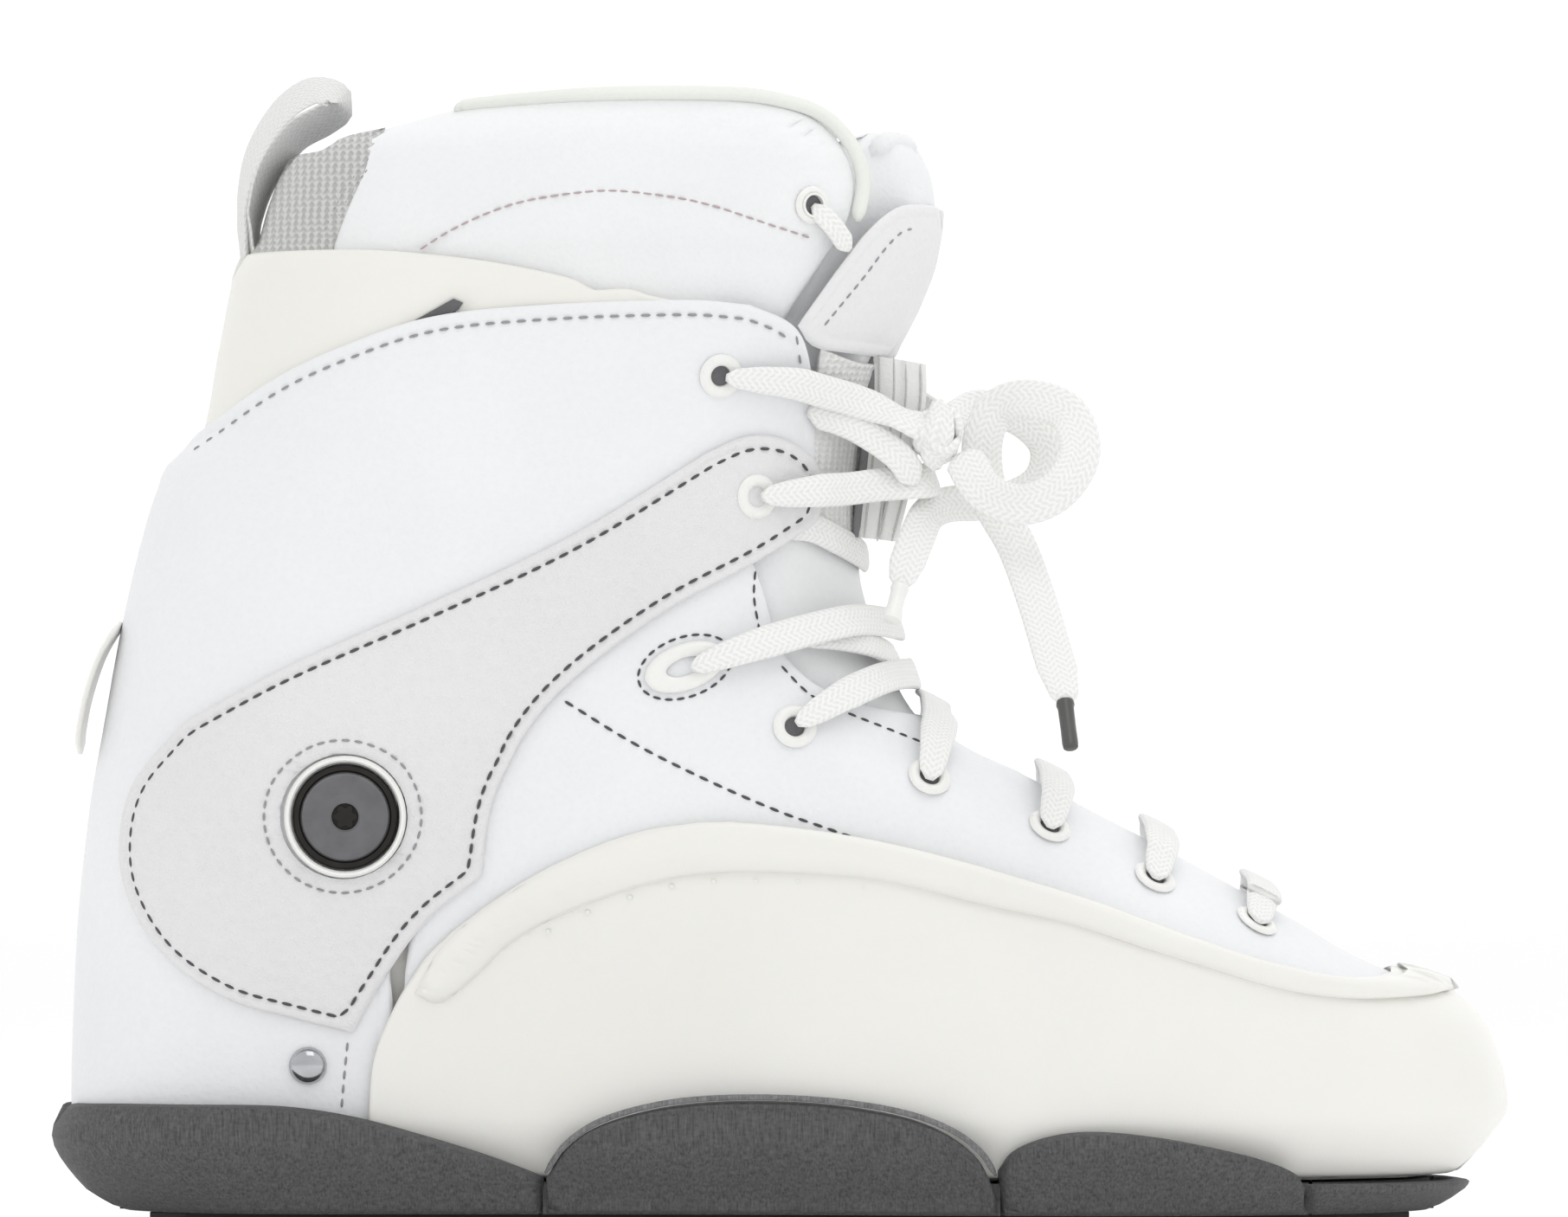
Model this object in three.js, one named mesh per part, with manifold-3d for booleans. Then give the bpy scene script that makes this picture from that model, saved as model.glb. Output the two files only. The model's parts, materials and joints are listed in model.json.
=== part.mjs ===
// Aggressive inline skate boot, right foot, boot only (no frame or wheels).
// Frame: +X toe, +Z up, -Y lateral (outer) side, millimetres, origin on the ground under the middle.
// The foot is a hard shell with leather skins; the cuff leans about two pivot bolts at the ankle.
import * as THREE from 'three';
import { mergeVertices } from 'three/addons/utils/BufferGeometryUtils.js';
import Module from 'manifold-3d';

const wasm = await Module();
wasm.setup();

// ---------- driving dimensions ----------
const BOOT_LENGTH = 308.6;        // skin to skin, heel to toe, at the widest level
const HEEL_X = -153.4;            // rearmost point of the leather
const SHAFT_SCALE = 1;            // height of everything above the ankle pivot
const BALL_HALF = 54;             // half width of the leather at the ball of the foot
const HEEL_HALF = 38;             // half width at the heel
const ANKLE_HALF = 46;            // half width at the ankle bones
const COLLAR_HALF = 49;           // half width at the top of the collar
const TOE_SWING = 4;              // how far the toe curves towards the medial side

const GAP = 0.35;                 // clearance between touching layers
const LEATHER = 1.5;              // skin thickness
const CUFF_WALL = 2.1;            // hinged cuff plastic
const SHELL_WALL = 2.1;           // lower shell plastic at the ankle
const FOOT_WALL = 3.6;            // lower shell plastic at the foot
const COVER_WALL = 2.0;           // outer side shell
const LINER_WALL = 4.6;           // padded liner
const STRAP_LEATHER = 1.7;        // leather panel over the pivot

const BLOCK_TOP = 4.2;            // top of the frame mounting block
const SOUL_BOTTOM = 4.5;          // underside of the soul plates
const SOLE_Z = 12;                // underside of the lower shell
const SOLE_FLOOR = 3.6;           // thickness of the lower shell's floor

const PIVOT_X = -93;              // cuff pivot axis
const PIVOT_Z = 90;
const BOLT_HEAD_R = 11.3;
const BOLT_SHANK_R = 4;
const RING_OUTER_R = 13;
const RING_FOOT = 0.6 - LEATHER;   // rings and bolt heads sit this deep, just above the cuff plastic
const EAR_R = 17;                 // round ears of both shells about the pivot
const LEAN_FORWARD = 9.5;         // room between cuff and boot, degrees
const LEAN_BACK = 4.5;
const FRONT_SEAM_DEG = 32;        // boot edge of the seam, in front of the pivot
const REAR_SEAM_DEG = 160.5;      // boot edge of the seam, behind the pivot

const EYELET_R = 4.6;
const EYELET_HOLE_R = 2.2;
const EYELET_BARREL_R = 2.7;
const EYELET_FLANGE = 0.8;
const LACE_WIDTH = 7.6;
const LACE_THICK = 1.8;
const THROAT_HALF = 13;           // half of the gap between the eyestays
const FRAME_BOLT_SPAN = 165;      // frame bolts, hole to hole
const FRAME_BOLT_R = 3.2;

// ---------- layers, as offsets from the outer face of the leather ----------
const SKIN_IN = -LEATHER;
const CUFF_OUT = SKIN_IN - GAP;
const CUFF_IN = CUFF_OUT - CUFF_WALL;
const SHELL_OUT = CUFF_IN - 0.7;
const SHELL_IN = SHELL_OUT - SHELL_WALL;
const FOOT_IN = CUFF_OUT - FOOT_WALL;
const LINER_OUT = SHELL_IN - GAP;
const LINER_IN = LINER_OUT - LINER_WALL;
const STRAP_IN = GAP;
const STRAP_OUT = STRAP_IN + STRAP_LEATHER;
const TONGUE_OUT = -2.2;
const TONGUE_IN = -6.4;
const COVER_IN = GAP;
const COVER_OUT = COVER_IN + COVER_WALL;

// ---------- the form of the boot ----------
const TOE_X = HEEL_X + BOOT_LENGTH;
const REST_TOE = 155.2;

// heights above the ankle stretch with the shaft, places along the foot with the boot
const hz = (z) => (z > PIVOT_Z ? PIVOT_Z + (z - PIVOT_Z) * SHAFT_SCALE : z);
const unz = (z) => (z > PIVOT_Z ? PIVOT_Z + (z - PIVOT_Z) / SHAFT_SCALE : z);
const lx = (x) => (x > PIVOT_X ? PIVOT_X + (x - PIVOT_X) * (TOE_X - PIVOT_X) / (REST_TOE - PIVOT_X) : x);

const smooth = (a, b, v) => THREE.MathUtils.smoothstep(v, a, b);
const mix = THREE.MathUtils.lerp;

// piecewise cubic through [at, value] stations, with flat tangents at turning points
function along(stations, v) {
  const n = stations.length;
  if (v <= stations[0][0]) return stations[0][1];
  if (v >= stations[n - 1][0]) return stations[n - 1][1];
  let i = 0;
  while (stations[i + 1][0] < v) i += 1;
  const slope = (j) => (stations[j + 1][1] - stations[j][1]) / (stations[j + 1][0] - stations[j][0]);
  const tangent = (j) => {
    if (j === 0) return slope(0);
    if (j === n - 1) return slope(n - 2);
    const a = slope(j - 1);
    const b = slope(j);
    return a * b <= 0 ? 0 : (2 * a * b) / (a + b);
  };
  const span = stations[i + 1][0] - stations[i][0];
  const t = (v - stations[i][0]) / span;
  const t2 = t * t;
  const t3 = t2 * t;
  return (2 * t3 - 3 * t2 + 1) * stations[i][1] + (t3 - 2 * t2 + t) * span * tangent(i)
    + (3 * t2 - 2 * t3) * stations[i + 1][1] + (t3 - t2) * span * tangent(i + 1);
}

// back of the leather by height
const BACK = [
  [10, -148.5], [20, -152], [28, HEEL_X], [60, -152.4], [90, -149.6], [110, -146.2], [130, -142.6],
  [150, -138], [165, -133], [168.5, -129.5], [173, -126.4], [190, -123.2], [211, -118.4],
  [213, -116.6], [221, -114.2], [229, -111], [234, -107.6], [237.5, -101], [241, -92], [246, -80],
];
// front of the leather and tongue by height
const FRONT = [
  [10, 142], [20, 151], [27, 155.2], [34, 154.4], [42, 151.2], [48, 146.4], [52, 141], [55, 134.5],
  [58, 127], [62, 119.6], [68, 110.2], [75, 97.6], [82, 85], [90, 69.6], [98, 54.5], [105, 39.5],
  [112, 31.5], [120, 26.4], [130, 22.2], [142, 19], [155, 18.2], [170, 19.4], [180, 21.4],
  [190, 25.4], [200, 30.4], [210, 34], [220, 35.4], [230, 34], [238, 29.5], [246, 22],
];
// half width along the foot, and up the shaft
const FOOT_HALF = [
  [-150, HEEL_HALF - 2], [-112, HEEL_HALF], [-60, HEEL_HALF - 1.5], [-20, HEEL_HALF + 2],
  [30, BALL_HALF - 4.5], [68, BALL_HALF], [100, BALL_HALF - 0.5], [150, BALL_HALF - 3],
];
const SHAFT_HALF = [
  [70, ANKLE_HALF], [100, ANKLE_HALF], [130, ANKLE_HALF - 1.6], [165, ANKLE_HALF - 1],
  [200, ANKLE_HALF + 1], [232, COLLAR_HALF], [246, COLLAR_HALF - 5],
];
const NOSE_LENGTH = [[12, 66], [48, 74], [62, 46], [100, 44], [130, 52], [246, 60]];
const NOSE_POWER = [[12, 2.2], [48, 2.2], [62, 2.6], [110, 2.6], [135, 2.1], [246, 2]];
const TAIL_LENGTH = [[12, 42], [60, 44], [110, 50], [150, 58], [246, 64]];

// how much a layer's offset also lowers or raises it, over the sloping instep
const lift = (z) => 0.6 * smooth(34, 48, z) * (1 - smooth(112, 132, z));

function section(z, d) {
  const level = unz(z) - d * lift(unz(z));
  return {
    level,
    back: along(BACK, level) - d,
    front: lx(along(FRONT, level)) + d,
    nose: along(NOSE_LENGTH, level) + d,
    power: along(NOSE_POWER, level),
    tail: along(TAIL_LENGTH, level) + d,
    d,
  };
}

function sideWidth(x, s) {
  const foot = along(FOOT_HALF, x);
  const shaft = along(SHAFT_HALF, s.level);
  const tuck = 1 - 0.1 * (1 - smooth(10, 26, s.level));
  return (mix(foot, shaft, smooth(34, 96, s.level)) * tuck) + s.d;
}

const cap = (reach, length, power) => {
  const u = 1 - Math.min(Math.max(reach / length, 0), 1);
  return Math.pow(Math.max(1 - Math.pow(u, power), 0), 1 / power);
};

// half width of the layer at d, at a place along and up the boot
function halfWidth(x, z, d) {
  const s = section(z, d);
  return sideWidth(x, s) * cap(x - s.back, s.tail, 2.1) * cap(s.front - x, s.nose, s.power);
}

const WIDEST_X = 82;              // where the soles are widest: centred there
const swing = (x) => TOE_SWING * (smooth(-20, TOE_X, x) - smooth(-20, TOE_X, WIDEST_X));

// a point on the layer at d, on side -1 (lateral) or +1 (medial)
const onForm = (x, z, d, side) => new THREE.Vector3(x, swing(x) + side * halfWidth(x, z, d), z);

function normalAt(x, z, side) {
  const h = 0.5;
  const along1 = onForm(x + h, z, 0, side).sub(onForm(x - h, z, 0, side));
  const up = onForm(x, z + h, 0, side).sub(onForm(x, z - h, 0, side));
  const n = new THREE.Vector3().crossVectors(along1, up).normalize();
  return n.y * side < 0 ? n.negate() : n;
}

// ---------- solids ----------
function toSolid(geometry) {
  geometry.deleteAttribute('normal');
  geometry.deleteAttribute('uv');
  const merged = mergeVertices(geometry, 1e-4);
  return new wasm.Manifold(new wasm.Mesh({
    numProp: 3,
    vertProperties: new Float32Array(merged.attributes.position.array),
    triVerts: new Uint32Array(merged.index.array),
  }));
}

function toGeometry(solid) {
  const mesh = solid.getMesh();
  const geometry = new THREE.BufferGeometry();
  geometry.setAttribute('position', new THREE.BufferAttribute(mesh.vertProperties, 3));
  geometry.setIndex(new THREE.BufferAttribute(mesh.triVerts, 1));
  geometry.computeVertexNormals();
  return geometry;
}

const LEVELS = [10, 19, 28, 42, 51, 56, 62, 70, 79, 90, 102, 115, 130, 146, 164, 168.5, 173, 192, 211,
  224, 234, 241, 246].map(hz);
const AROUND = 20;

// a solid of the boot's form at offset d between two heights
function form(d, low, high, sectionOf = section, widthOf = sideWidth) {
  const rows = [low, ...LEVELS.filter((z) => z > low + 1.5 && z < high - 1.5), high];
  const tube = new THREE.CylinderGeometry(1, 1, 1, AROUND, rows.length - 1);
  tube.rotateX(Math.PI / 2);
  const spot = tube.attributes.position;
  for (let i = 0; i < spot.count; i += 1) {
    const row = Math.round((spot.getZ(i) + 0.5) * (rows.length - 1));
    const s = sectionOf(rows[row], d);
    const r = Math.hypot(spot.getX(i), spot.getY(i));
    const turn = Math.atan2(spot.getY(i), spot.getX(i));
    const x = (s.front + s.back) / 2 + (r > 0.5 ? (s.front - s.back) / 2 * Math.cos(turn) : 0);
    const half = widthOf(x, s) * cap(x - s.back, s.tail, 2.1) * cap(s.front - x, s.nose, s.power);
    const y = r > 0.5 && Math.abs(Math.sin(turn)) > 1e-6 ? Math.sign(turn) * half : 0;
    spot.setXYZ(i, x, swing(x) + y, rows[row]);
  }
  return toSolid(tube);
}

// outline runs: each run is smoothed, runs meet in corners
function outline(...runs) {
  const points = [];
  for (const [steps, ...spots] of runs) {
    const vectors = spots.map(([x, z]) => new THREE.Vector2(x, z));
    const run = steps > 0 ? new THREE.SplineCurve(vectors).getPoints(steps) : vectors;
    points.push(...run);
  }
  return points.filter((p, i) => p.distanceTo(points[(i + 1) % points.length]) > 0.05);
}

// points in the side view, extruded between two depths
function extruded(points, y0 = -90, y1 = 90) {
  const shape = new THREE.Shape(points);
  const block = new THREE.ExtrudeGeometry(shape, { depth: y1 - y0, bevelEnabled: false });
  block.rotateX(Math.PI / 2);
  block.translate(0, y1, 0);
  return toSolid(block);
}

// the same for an outline drawn at the rest size, stretched with the boot
const prism = (points, y0 = -90, y1 = 90) => (
  extruded(points.map((p) => new THREE.Vector2(lx(p.x), hz(p.y))), y0, y1));

const corners = (...list) => list.map(([x, z]) => new THREE.Vector2(x, z));

function box(x0, x1, y0, y1, z0, z1) {
  const block = new THREE.BoxGeometry(x1 - x0, y1 - y0, z1 - z0);
  block.translate((x0 + x1) / 2, (y0 + y1) / 2, (z0 + z1) / 2);
  return toSolid(block);
}

// a turned piece standing on the axis along Y at (x, z), profile in [radius, outward] pairs
function turned(profile, x, z, y, side, segments = 20) {
  const lathe = new THREE.LatheGeometry(profile.map(([r, h]) => new THREE.Vector2(r, h)), segments);
  if (side < 0) lathe.rotateZ(Math.PI);
  lathe.translate(x, y, z);
  return toSolid(lathe);
}

const axisCylinder = (r, x, z, y0, y1, segments = 24) => {
  const rod = new THREE.CylinderGeometry(r, r, y1 - y0, segments);
  rod.translate(x, (y0 + y1) / 2, z);
  return toSolid(rod);
};

const rayPoint = (degrees, reach) => {
  const a = THREE.MathUtils.degToRad(degrees);
  return [PIVOT_X + reach * Math.cos(a), PIVOT_Z + reach * Math.sin(a)];
};

// the two sides of the lean seam, as wedges from the pivot
const FAR = 330;
const bootSide = extruded(corners(
  [PIVOT_X, PIVOT_Z], rayPoint(REAR_SEAM_DEG, FAR), [-400, -50], [400, -50],
  rayPoint(FRONT_SEAM_DEG, FAR + 100),
));
const cuffSide = extruded(corners(
  [PIVOT_X, PIVOT_Z], rayPoint(FRONT_SEAM_DEG + LEAN_FORWARD, FAR + 100), [0, 700],
  rayPoint(REAR_SEAM_DEG - LEAN_BACK, FAR),
));

const parts = [];
function add(name, solid, color, roughness = 0.6, metalness = 0) {
  const material = new THREE.MeshStandardMaterial({ color, roughness, metalness });
  const mesh = new THREE.Mesh(toGeometry(solid), material);
  mesh.name = name;
  parts.push(mesh);
  return mesh;
}

const LEATHER_WHITE = 0xf3f4f6;
const PLASTIC_WHITE = 0xf1efe6;
const STRAP_GREY = 0xe6e3e6;
const KNIT_GREY = 0xcfcfcd;
const CHARCOAL = 0x4a4a4b;
const LACE_WHITE = 0xefefea;
const STEEL = 0x8d8d90;

const TOP_Z = 246;
const formCache = new Map();
function formAt(d, low, high) {
  const key = `${d}/${low}/${high}`;
  if (!formCache.has(key)) formCache.set(key, form(d, low, high));
  return formCache.get(key);
}
const wall = (outer, inner, low, high) => formAt(outer, low, high).subtract(formAt(inner, low - 1, high + 1));

// ---------- outlines in the side view ----------
const vampEdge = outline(
  [10, [-66, 92], [-58, 107], [-46, 120], [-25, 136], [-4, 148]],
  [6, [-4, 148], [-3, 138], [0, 126]],
  [8, [0, 126], [10, 118], [22, 113], [38, 106]],
  [0, [60, 110], [140, 90], [140, 50]],
  [10, [122, 44], [95, 48], [60, 60], [20, 70], [-10, 74], [-45, 72], [-70, 60]],
);
const coverEdge = outline(
  [10, [-87, 10], [-87, 30], [-85, 42], [-77, 58], [-64, 70], [-48, 80], [-30, 87], [-12, 89]],
  [10, [-12, 89], [20, 84.5], [60, 73], [96, 60], [112, 56.2], [126, 55.5]],
  [4, [126, 55.5], [131, 59.5], [140, 60], [146, 57]],
  [0, [172, 60], [172, 10]],
);
const strapEdge = outline(
  [12, [-91, 43.5], [-103, 46.5], [-118, 51], [-131, 60], [-139, 73], [-140.5, 86], [-137, 98], [-127, 110]],
  [6, [-127, 110], [-105, 122], [-75, 135.5], [-45, 150], [-16, 168]],
  [6, [-16, 168], [-8, 171.4], [0, 171], [6, 167], [8.4, 161], [7, 153]],
  [8, [7, 153], [-5, 145], [-25, 134], [-45, 119], [-56, 106], [-62, 92], [-64, 77]],
  [4, [-64, 77], [-75, 68], [-84, 56], [-91, 43.5]],
);
const cuffSkinEdge = outline(
  [14, [-150, 162], [-133, 168.6], [-125, 173.4], [-110, 183.5], [-95, 190.5], [-75, 197], [-50, 199.6],
    [-20, 200.6], [-6, 199.6]],
  [6, [-6, 199.6], [3, 195.6], [6.6, 189], [8, 175], [8.4, 160]],
  [0, [8.4, 120], [-170, 60]],
);
const cuffShellEdge = outline(
  [6, [-140, 211.4], [-100, 211.6], [-85, 211.2], [-64, 209], [-46, 205.6], [-41, 203]],
  [4, [-41, 203], [-30, 202.6], [-22, 200.4], [-12, 199]],
  [0, [-4, 192], [-2, 150], [-40, 80], [-180, 60]],
);
const linerCuffEdge = outline(
  [12, [-120, 226], [-104, 233.6], [-95, 236.4], [-82, 239.6], [-68, 243], [-40, 245.3], [-8, 245.4],
    [4, 244], [12, 241]],
  [8, [12, 241], [18.6, 234.6], [21.4, 227], [20, 218], [15, 210], [4, 194], [-6, 170]],
  [0, [-10, 100], [-190, 60]],
);
const tongueEdge = outline(
  [0, [118, 40], [128, 66]],
  [0, [128, 120], [60, 190], [60, 230]],
  [5, [36, 230], [28, 235.6], [15, 238.6], [2, 237]],
  [8, [2, 237], [-4, 215], [-8, 190], [-10, 160], [-8, 135], [10, 104], [40, 86], [90, 60], [118, 40]],
);
const leafEdge = outline(
  [6, [5.5, 191], [13, 205], [21, 216], [28, 221.6], [36, 221.6]],
  [0, [50, 221], [50, 186], [26, 188.6]],
);
const shellEdge = outline(
  [0, [-190, 0], [190, 0], [190, 54]],
  [8, [142, 50], [118, 50], [90, 56], [50, 68], [10, 80], [-30, 98], [-50, 118]],
  [0, [-60, 140], [-190, 140]],
);
const throatCut = (half) => box(lx(-2), lx(117), -half, half + 4, 40, hz(150));

// ---------- boot body ----------
const bootForm = (d, low = SOLE_Z, high = 132) => formAt(d, low, hz(high));
const frontHalf = box(-60.1, 400, -120, 120, -10, 400);
const backHalf = box(-400, -60, -120, 120, -10, 400);
const footEar = (d0, d1) => formAt(d1, SOLE_Z, hz(TOP_Z)).subtract(formAt(d0, SOLE_Z - 1, hz(TOP_Z) + 1))
  .intersect(axisCylinder(EAR_R, PIVOT_X, PIVOT_Z, -90, 90));
const boltHoles = (r) => axisCylinder(r, PIVOT_X, PIVOT_Z, -90, 90, 16);

const INSIDE_Z = SOLE_Z + SOLE_FLOOR;
const insertHoles = [-1, 1].map((k) => {
  const hole = new THREE.CylinderGeometry(FRAME_BOLT_R + GAP, FRAME_BOLT_R + GAP, 60, 12);
  hole.rotateX(Math.PI / 2);
  hole.translate(k * FRAME_BOLT_SPAN / 2, 0, 0);
  return toSolid(hole);
});
const drilled = (solid) => insertHoles.reduce((s, hole) => s.subtract(hole), solid);

const shellOuter = bootForm(CUFF_OUT).intersect(frontHalf).add(bootForm(SHELL_OUT).intersect(backHalf));
const shellInner = bootForm(FOOT_IN, INSIDE_Z, 140).intersect(frontHalf)
  .add(bootForm(SHELL_IN, INSIDE_Z, 140).intersect(backHalf));
const lowerShell = drilled(shellOuter.intersect(prism(shellEdge)).intersect(bootSide)
  .add(formAt(SHELL_OUT, SOLE_Z, hz(TOP_Z)).intersect(axisCylinder(EAR_R, PIVOT_X, PIVOT_Z, -90, 90)))
  .subtract(shellInner).subtract(boltHoles(BOLT_SHANK_R + GAP)));
add('lower_shell', lowerShell, PLASTIC_WHITE, 0.45);

const rivetXZ = [-101.2, 36.5];
const RIVET_SHANK_R = 2;
const rivetHole = axisCylinder(RIVET_SHANK_R + GAP, rivetXZ[0], rivetXZ[1], -90, 90, 12);
const heelEdge = corners(
  [-190, 10], [-88.6, 10], [-88.6, 41], [-82, 56], [-70.6, 66], [-70.6, 92], [-70.6, 140], [-190, 140],
);
const heelSkin = wall(0, SKIN_IN, SOLE_Z, 132).intersect(prism(heelEdge)).intersect(bootSide)
  .subtract(axisCylinder(EAR_R + 1.4, PIVOT_X, PIVOT_Z, -90, 90)).subtract(rivetHole);
add('heel_skin', heelSkin, LEATHER_WHITE, 0.55);

const sideShell = wall(COVER_OUT, COVER_IN, SOLE_Z, 100).intersect(prism(coverEdge));
add('side_shell', sideShell, PLASTIC_WHITE, 0.35);

// ---------- eyelets ----------
const footEyelets = [[102.3, 67.2], [80.4, 76.6], [57.8, 87.6], [32, 98.3], [3.2, 109.2]];
const cuffEyelets = [[-6, 158.6], [-12.7, 184.4]];

function placed(solidGeometry, x, z, side, rise) {
  const n = normalAt(x, z, side);
  const spin = new THREE.Quaternion().setFromUnitVectors(new THREE.Vector3(0, 1, 0), n);
  solidGeometry.applyQuaternion(spin);
  const at = onForm(x, z, 0, side).addScaledVector(n, rise);
  solidGeometry.translate(at.x, at.y, at.z);
  return toSolid(solidGeometry);
}

const EYELET_SEAT = 0.45;         // room under the flange
function eyeletSolid(x, z, side, lift = 0) {
  const seat = EYELET_SEAT + lift;
  const ring = new THREE.LatheGeometry([
    [EYELET_HOLE_R, -LEATHER], [EYELET_BARREL_R, -LEATHER], [EYELET_BARREL_R, seat],
    [EYELET_R, seat], [EYELET_R - 0.5, seat + EYELET_FLANGE], [EYELET_HOLE_R, seat + EYELET_FLANGE],
    [EYELET_HOLE_R, -LEATHER],
  ].map(([r, h]) => new THREE.Vector2(r, h)), 8);
  return placed(ring, lx(x), hz(z), side, 0);
}

// the room that an eyelet takes above the leather
function eyeletKeepOut(x, z, side) {
  const high = EYELET_SEAT + EYELET_FLANGE + GAP / 2;
  const rod = new THREE.CylinderGeometry(EYELET_R, EYELET_R, 2 * high, 8);
  return placed(rod, lx(x), hz(z), side, 0);
}

function eyeletHole(x, z, side, depth = 3) {
  const rod = new THREE.CylinderGeometry(EYELET_BARREL_R + GAP, EYELET_BARREL_R + GAP, 2 * depth, 8);
  return placed(rod, lx(x), hz(z), side, 0);
}

// the long lace loop above the instep: an oval washer
const OVAL = { x: -20.3, z: 122, half: 9, rise: 5, tilt: 20, slotHalf: 4.2, slotRise: 1.9 };
function ovalPiece(half, rise, low, high, side) {
  const shape = new THREE.Shape();
  shape.absellipse(0, 0, half, rise, 0, Math.PI * 2, false, 0);
  const cut = { depth: high - low, bevelEnabled: false, curveSegments: 10 };
  const slab = new THREE.ExtrudeGeometry(shape, cut);
  slab.translate(0, 0, low);
  slab.rotateZ(THREE.MathUtils.degToRad(side < 0 ? OVAL.tilt : -OVAL.tilt));
  slab.rotateX(-Math.PI / 2);
  if (side > 0) slab.rotateY(Math.PI);
  return slab;
}

function placedFlat(slab, x, z, side, rise) {
  const n = normalAt(x, z, side);
  const up = new THREE.Vector3(0, 0, 1);
  const across = new THREE.Vector3().crossVectors(up, n).normalize();
  const top = new THREE.Vector3().crossVectors(n, across).normalize();
  const turn = new THREE.Matrix4().makeBasis(across, n, top.clone().negate());
  slab.applyMatrix4(turn);
  const at = onForm(x, z, 0, side).addScaledVector(n, rise);
  slab.translate(at.x, at.y, at.z);
  return toSolid(slab);
}

const ovalAt = (piece) => placedFlat(piece, lx(OVAL.x), hz(OVAL.z), -1, 0);
const ovalHole = ovalAt(ovalPiece(OVAL.half - 2.2, OVAL.rise - 2, -4, 4, -1));
const ovalRing = ovalAt(ovalPiece(OVAL.half, OVAL.rise, 0.5, 1.3, -1))
  .subtract(ovalAt(ovalPiece(OVAL.slotHalf, OVAL.slotRise, -4, 4, -1)));

let vamp = wall(0, SKIN_IN, SOLE_Z + 20, 160).intersect(prism(vampEdge)).intersect(bootSide)
  .subtract(throatCut(THROAT_HALF));
for (const side of [-1, 1]) {
  for (const [x, z] of footEyelets) vamp = vamp.subtract(eyeletHole(x, z, side));
}
vamp = vamp.subtract(ovalHole);
add('vamp', vamp, LEATHER_WHITE, 0.55);

footEyelets.forEach(([x, z], i) => {
  for (const side of [-1, 1]) {
    const where = side < 0 ? 'lateral' : 'medial';
    add(`eyelet_${i + 1}_${where}`, eyeletSolid(x, z, side), LACE_WHITE, 0.3, 0.2);
  }
});
add('lace_loop_oval', ovalRing, LACE_WHITE, 0.3, 0.2);

// ---------- liner, footbed, heel pad ----------
const linerFoot = bootForm(FOOT_IN - GAP, INSIDE_Z + GAP, 132).intersect(frontHalf)
  .add(bootForm(LINER_OUT, INSIDE_Z + GAP, 132).intersect(backHalf))
  .intersect(bootSide)
  .intersect(prism(outline(
    [0, [-190, 0], [150, 0], [150, 46]],
    [8, [138, 46], [112, 49], [80, 60], [40, 80], [6, 108], [-6, 138]],
    [0, [-20, 190], [-190, 190]],
  )))
  .subtract(bootForm(LINER_IN, INSIDE_Z + GAP + 4, 140));
add('liner_foot', linerFoot, 0x3a3a3c, 0.9);

const footbed = bootForm(LINER_IN - GAP, INSIDE_Z + GAP + 4 + GAP, 60)
  .intersect(box(-400, 400, -90, 90, 0, INSIDE_Z + GAP + 4 + GAP + 4));
add('footbed', footbed, 0x55585c, 0.9);

// ---------- tongue ----------
const tongue = wall(TONGUE_OUT, TONGUE_IN, 40, TOP_Z - 4).intersect(prism(tongueEdge))
  .intersect(box(-60, 200, -24, 26, 0, 400));
add('tongue', tongue, KNIT_GREY, 0.9);
const leaf = wall(0.2, -1.7, 180, 230).intersect(prism(leafEdge))
  .intersect(box(-60, 200, -27, 29, 0, 400));
add('tongue_leaf', leaf, KNIT_GREY, 0.9);

// ---------- soul plates ----------
const SOUL_BACK = [[4, -142], [10, -151], [21, -157.4], [28.5, -155], [40, -155]];
const SOUL_FRONT = [[4, 141], [11, 149.6], [30, 149.6]];
const SOUL_HALF = [
  [-156, 40], [-120, 45.5], [-50, 46], [-5, 49.5], [45, 59], [80, 61.5], [110, 60], [150, 54],
];
function soulSection(z, d) {
  return {
    level: z, back: along(SOUL_BACK, z) - d, front: lx(along(SOUL_FRONT, z)) + d,
    nose: 62, power: 2.2, tail: 46, d,
  };
}
const soulWidth = (x, s) => (along(SOUL_HALF, x) - 7 * (1 - smooth(4, 22, s.level))) + s.d;
const soulForm = form(0, SOUL_BOTTOM, 31, soulSection, soulWidth);
const bootCut = formAt(GAP, SOLE_Z - GAP, 60);
const coverCut = formAt(COVER_OUT + GAP, SOLE_Z - GAP, 60).intersect(box(lx(-92), 400, -120, 120, 0, 200));
function soul(points) {
  return drilled(soulForm.intersect(prism(points)).subtract(bootCut).subtract(coverCut));
}
const heelSoul = outline(
  [0, [-170, 0], [-51.6, 0], [-51.6, 12.5]],
  [10, [-51.6, 12.5], [-65, 17.6], [-80, 22.2], [-95, 26], [-110, 28], [-130, 28.2], [-160, 28]],
);
const midPlate = outline(
  [0, [-51, 0], [47.4, 0], [47.4, 6]],
  [12, [47.4, 8], [45, 13.5], [42, 18], [36, 22.6], [26, 26.2], [10, 28.6], [-8, 29.2], [-24, 28],
    [-38, 24.4], [-46, 19.5], [-51, 13]],
);
const frontSoul = outline(
  [0, [48, 0], [113.6, 0], [113.6, 12]],
  [12, [113.6, 12], [108, 15.4], [98, 18.6], [84, 21.4], [70, 22.8], [60, 22], [52, 19], [48.4, 15], [48, 8]],
);
const toePlate = corners([114, 0], [160, 0], [160, 11.6], [114, 11.6]);
add('soul_heel', soul(heelSoul), CHARCOAL, 0.7);
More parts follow.
